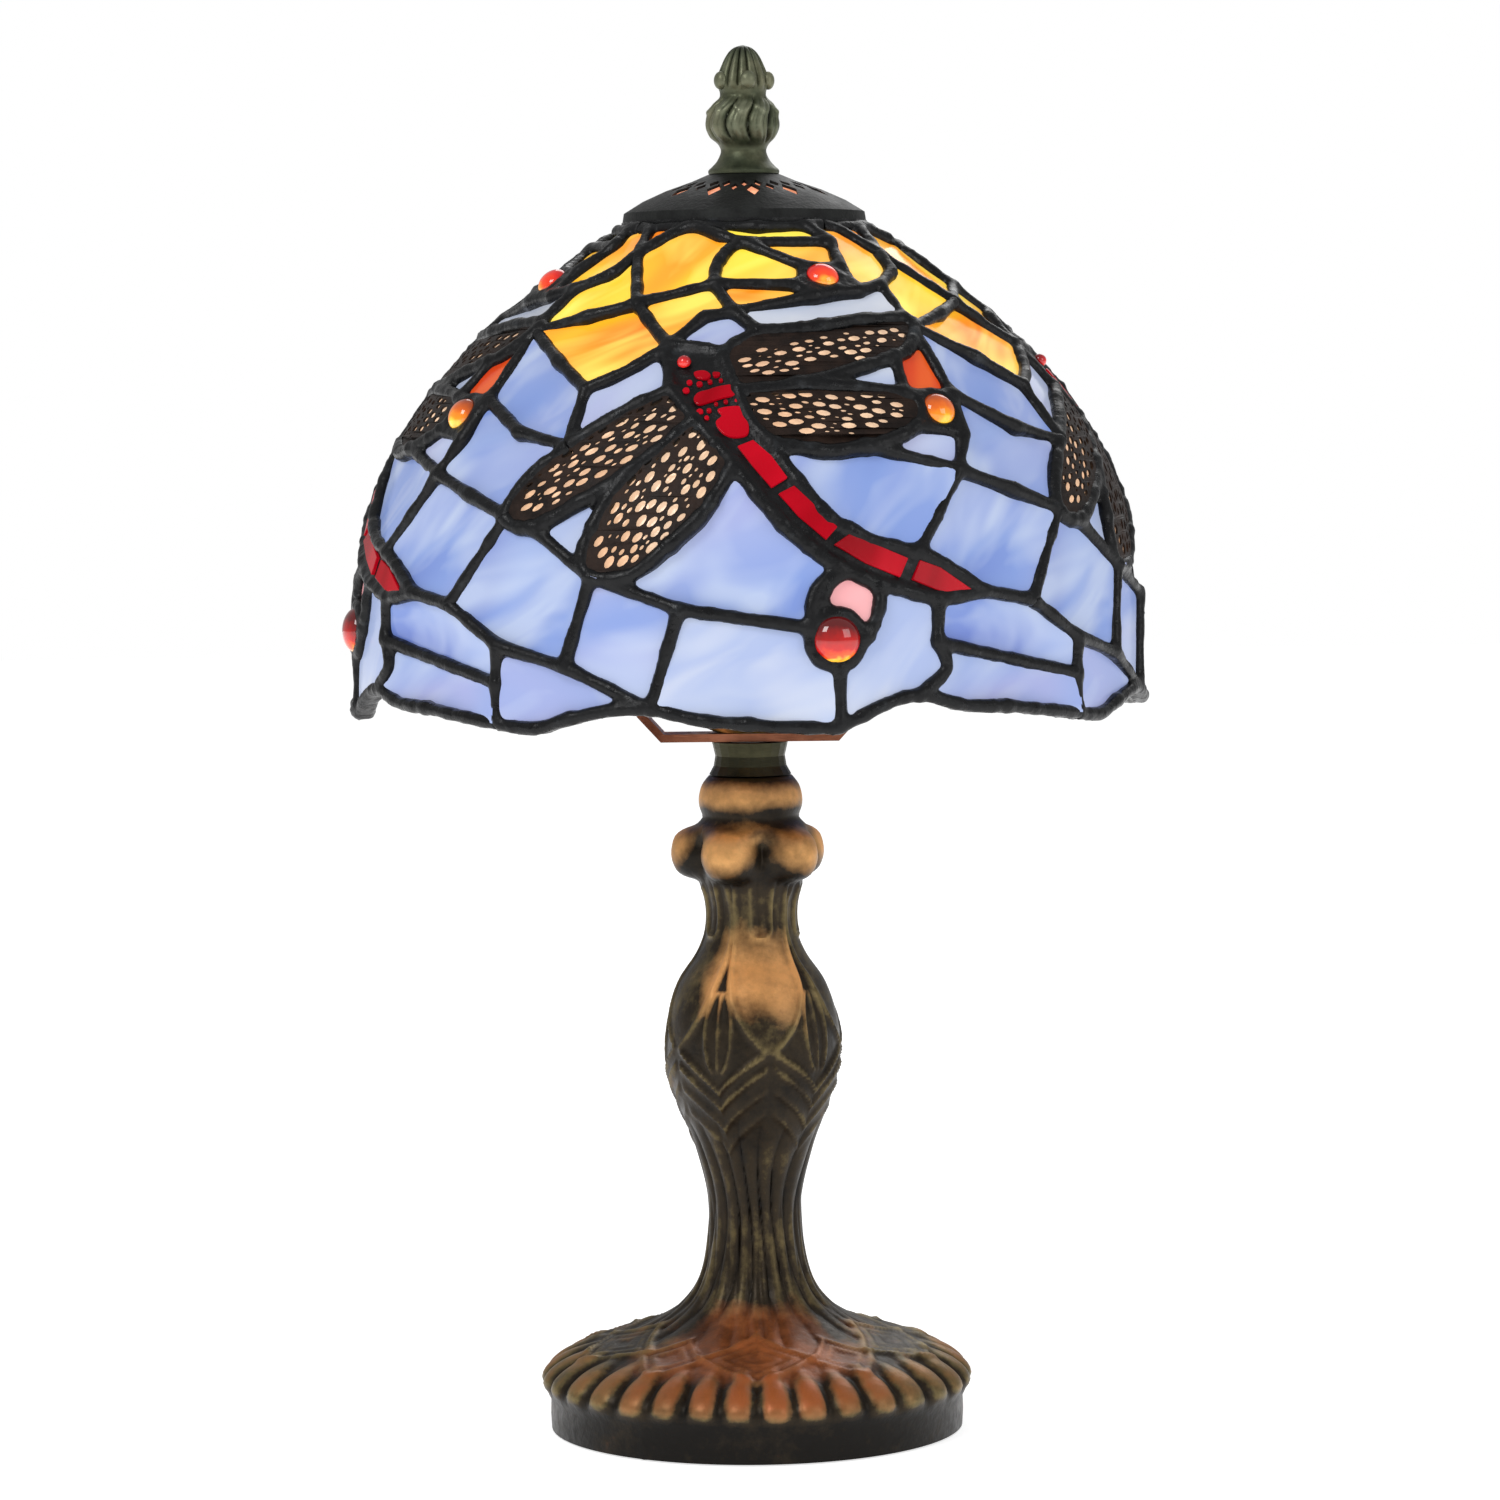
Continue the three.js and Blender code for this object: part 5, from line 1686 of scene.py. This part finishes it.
    def relief(self, points: np.ndarray, normals: np.ndarray) -> tuple[np.ndarray, np.ndarray, np.ndarray]:
        """Works out the casting's relief.

        Args:
            points: The smooth casting's points in millimetres.
            normals: Their outward normals.

        Returns:
            The raised points, the wear and the warmth of each, both with painted light in them.
        """
        reach = np.hypot(points[:, 0], points[:, 1])
        turn = np.arctan2(points[:, 0], -points[:, 1])
        level = points[:, 2]
        outer = (points[:, :2] * normals[:, :2]).sum(1) / np.maximum(reach, 1e-6) > -0.35
        outer &= (reach > 9.8) & (level > 8) & ~((level < 27.5) & (normals[:, 2] < -0.2))
        height = self.knob(turn, level) + self.footwork(turn, reach, level)
        height = height + (self.leafwork(turn, level) + self.reeds(turn, level)) * ease(level, 27, 33)
        height = np.where(outer, height, 0.0)
        mould = ridge((turn + 0.56) * reach, 0.35) * (level < 10) * (reach > 50)
        raised = points + normals * (height + 0.25 * mould)[:, None]
        standing = np.clip(height, -1.2, 1.3) * (level < 139)
        # Rubbing lightens proud relief and patina darkens hollows; the 0.12 * upward-normal term is painted
        # light, making faces turned up lighter.
        wear = np.where(level < 31, 0.22 + 0.4 * standing, 0.32 + 0.34 * standing) + 0.12 * normals[:, 2]
        # Painted highlight: strongest on faces toward the front and back, where the cosine of the turn is
        # large.
        facing = ease(np.abs(np.cos(turn)), 0.6, 0.97)
        # Rubbed copper with painted highlights: bands on the knob and the torus, the petals, the foot's
        # flats and its raised relief.
        warmth = np.maximum.reduce([
            1.25 * ridge(level - 148.6, 4.6) * ease(height, -4.2, 2.4), 1.2 * ridge(level - 161.4, 3.0),
            1.1 * ridge(level - 117.5, 9.5) * ease(facing * height, -0.05, 0.3),
            0.8 * (1 - ease(level, 25, 41)) * (1 - ease(reach, 42, 50)) * (0.25 + 0.75 * facing),
            1.0 * ease(height, 0.1, 1.5) * (level < 20) * (0.45 + 0.55 * facing),
        ])
        # Painted light: below 100 mm the copper and highlight share is cut down on faces not turned up;
        # above, it is kept whole.
        top = np.clip(0.35 + 0.9 * normals[:, 2], 0, 1)
        top = np.where(level > 100, 1.0, top)
        return raised, np.where(outer, wear, 0.1), np.where(outer, warmth * top, 0.0)

    def build(self) -> None:
        """Spins the casting, raises its relief and dresses it."""
        skin = even_run(self.skin, self.spacing)
        outline = [*self.wall[:-1], *skin, *self.cavity]
        casting = turned("cast_base", [(r * MM, z * MM) for r, z in outline], self.steps, smooth=False)
        points = coordinates(casting) / MM
        flat = np.empty(len(points) * 3)
        casting.data.vertices.foreach_get("normal", flat)
        raised, wear, warmth = self.relief(points, flat.reshape(-1, 3))
        reshape(casting, raised * MM)
        attribute(casting, "wear", wear)
        attribute(casting, "warmth", warmth)
        smooth_under(casting, 50)
        BRONZE.dress(casting)
        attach(casting, "base")
        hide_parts("base_casting")
        note(casting)


# ---- crown fittings ------------------------------------------------------------------------------


@dataclass
class CrownFittings:
    """The vented cap with the lit face inside it, and the cast finial."""

    cap_top: float = 316.9
    cap_foot: float = 305.6
    cap_edge: float = 30.7
    wall: float = 0.7
    lit_drop: float = 1.15
    lit_wall: float = 0.5
    vent_stretch: float = 1.9
    finial_foot: float = 317.1
    knob_count: int = 5
    knob_radius: float = 2.05
    knob_reach: float = 6.35
    knob_level: float = 23.2
    bud: tuple[Point2, ...] = (
        (8.8, 0), (8.9, 0.9), (7.9, 1.9), (6.6, 3.4), (5.7, 5.6), (6.2, 7.2), (7.7, 9.2), (8.7, 11.6),
        (8.6, 14), (7.6, 16.6), (6.0, 18.8), (5.8, 20.4), (6.4, 22.2), (6.1, 24.4), (5.1, 27),
        (3.9, 29.4), (2.2, 31.4), (0.05, 32.15),
    )
    steps: int = 168
    clusters: int = 13

    def cap_line(self, drop: float) -> list[Point2]:
        """Draws the cap's section.

        Args:
            drop: How far it lies under the cap's outside, in millimetres.

        Returns:
            Its points from the edge to the crown.
        """
        rise = self.cap_top - self.cap_foot
        shares = ((1.0, -0.1), (0.985, 0.16), (0.83, 0.42), (0.64, 0.65), (0.43, 0.85), (0.3, 1.0))
        return [(self.cap_edge * r, self.cap_foot + rise * z - drop) for r, z in shares]

    def cutter(self, azimuth: float, reach: float, size: float) -> Piece:
        """Stands a square bar cornerwise where a vent goes.

        Args:
            azimuth: Degrees to the right of the front.
            reach: Distance from the axis in millimetres.
            size: Side of the bar in millimetres.

        Returns:
            The bar, stretched away from the axis.
        """
        a = math.radians(azimuth)
        deselect_all()
        bpy.ops.mesh.primitive_cube_add(
            size=1.0, location=(reach * math.sin(a) * MM, -reach * math.cos(a) * MM, 0.31),
            rotation=(0, 0, math.pi / 4), scale=(size * MM, size * MM, 0.03),
        )
        bar = bpy.context.object
        settle(bar)
        points = coordinates(bar)
        middle = points.mean(0)
        steps = (points - middle) * (1.0, self.vent_stretch, 1.0)
        across = (math.cos(a), math.sin(a), 0.0)
        inward = (-math.sin(a), math.cos(a), 0.0)
        spin = np.array((across, inward, (0.0, 0.0, 1.0)))
        reshape(bar, steps @ spin + middle)
        return bar

    def build_cap(self) -> None:
        """Spins the cap, cuts its vents and sets the warm-lit face under it."""
        outer = self.cap_line(0.0)
        bore = [(3.6, self.cap_top), (3.6, self.cap_top - self.wall)]
        section = [*outer, *bore, *reversed(self.cap_line(self.wall))]
        cap = turned("pierced_cap", [(r * MM, z * MM) for r, z in section], 112)
        cutters = []
        for cluster in range(self.clusters):
            centre = 360 * cluster / self.clusters + 6.3
            cutters.append(self.cutter(centre, 0.66 * self.cap_edge, 2.7))
            for spread, share in ((-6, 0.52), (6, 0.52), (14, 0.6)):
                cutters.append(self.cutter(centre + spread, share * self.cap_edge, 1.7))
        bars = joined("vent_cutters", cutters)
        settle(bars)
        apply_modifier(cap, "BOOLEAN", object=bars, operation="DIFFERENCE", solver="EXACT")
        bpy.data.objects.remove(bars)
        smooth_under(cap, 30)
        IRON.dress(cap)
        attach(cap, "shade")
        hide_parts("vented_cap")
        note(cap)
        # Painted light: an added glowing face under the cap stands in for the bulb's light through the
        # vents.
        top = [(r * 0.97, z - self.lit_drop) for r, z in outer[2:]]
        under = [(r, z - self.lit_wall) for r, z in reversed(top)]
        lit = turned("lit_cap_face", [(r * MM, z * MM) for r, z in [*top, *under]], 64)
        WARM_FACE.dress(lit)
        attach(lit, "shade")
        note(lit)

    def build_finial(self) -> None:
        """Spins the bud, raises its ribs and leaves, and sets the round knobs on it."""
        line = even_run(self.bud, 0.42)
        section = [*line, (0.05, 14), (4.9, 14), (4.9, 0)]
        bud = turned("cast_finial", [(r * MM, (z + self.finial_foot) * MM) for r, z in section], self.steps)
        points = coordinates(bud) / MM
        reach = np.hypot(points[:, 0], points[:, 1])
        turn = np.arctan2(points[:, 0], -points[:, 1])
        level = points[:, 2] - self.finial_foot
        skin = reach > np.interp(level, [p[1] for p in self.bud], [p[0] for p in self.bud]) - 0.35
        ribs = (np.abs(np.cos(7 * turn)) ** 0.7 - 0.6) * 0.85 * band(level, 21.6, 31.2, 1.0)
        sweep = turn + 0.22 * np.sin((level - 7) / 3.2)
        leaf = (np.abs(np.cos(4.5 * sweep)) ** 0.55 - 0.6) * 1.25 * band(level, 8.3, 18.6, 1.1)
        fine = (np.abs(np.cos(13.5 * sweep)) ** 0.6 - 0.5) * 0.42 * band(level, 8.3, 18.6, 1.1)
        curl = 0.5 * ridge(level - (17.6 - 2.2 * np.abs(np.cos(4.5 * turn))), 0.8)
        height = np.where(skin & (reach > 1.0), ribs + leaf + fine + curl, 0.0)
        swell = (reach + height) / np.maximum(reach, 1e-6)
        raised = points * np.stack([swell, swell, np.ones_like(swell)], 1)
        reshape(bud, raised * MM)
        attribute(bud, "wear", np.where(skin, 0.4 + 0.42 * height, 0.2))
        knobs = [bud]
        arm = self.knob_reach * MM
        rise = (self.finial_foot + self.knob_level) * MM
        for k in range(self.knob_count):
            a = math.radians(12 + 72 * k)
            deselect_all()
            bpy.ops.mesh.primitive_uv_sphere_add(
                segments=20, ring_count=12, radius=self.knob_radius * MM,
                location=(arm * math.sin(a), -arm * math.cos(a), rise),
                rotation=(0, 0, a), scale=(1.0, 0.8, 1.12),
            )
            knob = bpy.context.object
            settle(knob)
            attribute(knob, "wear", np.full(len(knob.data.vertices), 0.62))
            knobs.append(knob)
        finial = joined("cast_finial", knobs)
        attribute(finial, "warmth", np.full(len(finial.data.vertices), 0.25))
        smooth_under(finial, 50)
        VERDIGRIS.dress(finial)
        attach(finial, "finial_head")
        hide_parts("finial")
        note(finial)

    def build(self) -> None:
        """Makes the cap and the finial."""
        self.build_cap()
        self.build_finial()


# ---- studio --------------------------------------------------------------------------------------


@dataclass
class Studio:
    """A pale floor, soft light from the front and behind, and the camera."""

    sweep: float = 4.0
    lens: float = 122.1
    stand: tuple[float, float, float] = (0.0, -1.283, 0.260)
    tilt: float = 3.91
    roll: float = -0.62
    floor_glow: float = 0.68
    ambient: float = 0.42

    def build_floor(self) -> None:
        """Lays the floor, dressed in faintly mottled white."""
        deselect_all()
        bpy.ops.mesh.primitive_plane_add(size=self.sweep * 2)
        floor = bpy.context.object
        floor.name = "floor"
        edit(floor)
        bpy.ops.mesh.subdivide(number_cuts=3)
        leave_edit()
        art = Sketch("studio_white")
        cloud = art.noise(art.space(), 3.0)
        art.set(Base_Color=art.ramp(cloud, ((0.3, (0.86, 0.86, 0.86)), (0.7, (0.9, 0.9, 0.9)))))
        art.set(Roughness=0.9, Specular_IOR_Level=0.1)
        art.set(Emission_Color=(1.0, 1.0, 1.0), Emission_Strength=self.floor_glow)
        floor.data.materials.append(art.material)

    def light(self, name: str, place: tuple[float, float, float], aim: tuple[float, float, float],
              size: float, power: float, tint: Colour = (1.0, 1.0, 1.0)) -> None:
        """Hangs a square soft light.

        Args:
            name: Its name.
            place: Where it hangs.
            aim: What it points at.
            size: Its side in metres.
            power: Its watts.
            tint: Its colour.
        """
        data = bpy.data.lights.new(name, "AREA")
        data.size = size
        data.energy = power
        data.color = tint
        lamp = bpy.data.objects.new(name, data)
        lamp.location = place
        lamp.rotation_euler = (Vector(aim) - Vector(place)).to_track_quat("-Z", "Y").to_euler()
        bpy.context.scene.collection.objects.link(lamp)

    def build(self) -> None:
        """Sets the floor, lights, surroundings and camera."""
        self.build_floor()
        self.light("key", (-0.9, -1.2, 1.4), (0, 0, 0.2), 0.7, 11.0)
        self.light("fill", (1.3, -1.1, 0.8), (0, 0, 0.2), 0.8, 4.5)
        self.light("back", (0.3, 1.4, 1.2), (0, 0, 0.2), 1.0, 6.0)
        world = bpy.data.worlds.new("studio_air")
        world.use_nodes = True
        world.node_tree.nodes["Background"].inputs["Color"].default_value = (1.0, 1.0, 1.0, 1.0)
        backdrop = world.node_tree.nodes["Background"]
        seen = world.node_tree.nodes.new("ShaderNodeLightPath").outputs["Is Camera Ray"]
        strength = world.node_tree.nodes.new("ShaderNodeMapRange")
        strength.inputs["To Min"].default_value = self.ambient
        world.node_tree.links.new(seen, strength.inputs["Value"])
        world.node_tree.links.new(strength.outputs["Result"], backdrop.inputs["Strength"])
        bpy.context.scene.world = world
        data = bpy.data.cameras.new("camera")
        data.lens = self.lens
        data.sensor_width = 36.0
        camera = bpy.data.objects.new("camera", data)
        camera.location = self.stand
        pitch = Matrix.Rotation(math.radians(90 - self.tilt), 4, "X")
        lean = Matrix.Rotation(math.radians(self.roll), 4, "Z")
        camera.rotation_euler = (pitch @ lean).to_euler()
        bpy.context.scene.collection.objects.link(camera)
        bpy.context.scene.camera = camera
        bpy.context.scene.view_settings.view_transform = "Standard"


# ---- the lamp ------------------------------------------------------------------------------------

CARRIED_OVER: dict[str, Finish] = {
    "neck_collar": OLIVE, "cord_bushing": BLACK_PLASTIC, "lamp_pipe": STEEL,
    "pipe_lock_nut": STEEL, "pipe_washer": STEEL, "ballast_disc": STEEL, "felt_pad": FELT,
    "shade_bracket": COPPER, "bracket_stud": BRASS, "stud_nut": BRASS, "holder_cap": BRASS,
    "holder_insulator": PORCELAIN, "holder_ring": PORCELAIN, "screw_shell": BRASS,
    "centre_contact": BRASS, "seat_washer": BRASS, "aperture_ring": SOLDER, "finial_insert": BRASS,
    "bulb_cap": BRASS, "bulb_glass": LIT_BULB,
}


def main() -> None:
    """Builds the lamp piece by piece."""
    logging.basicConfig(level=logging.INFO, format="%(name)s: %(message)s")
    Studio().build()
    CastBase().build()
    Shade().build()
    CrownFittings().build()
    for node, finish in CARRIED_OVER.items():
        finish.dress(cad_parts[node])


if __name__ == "__main__":
    main()
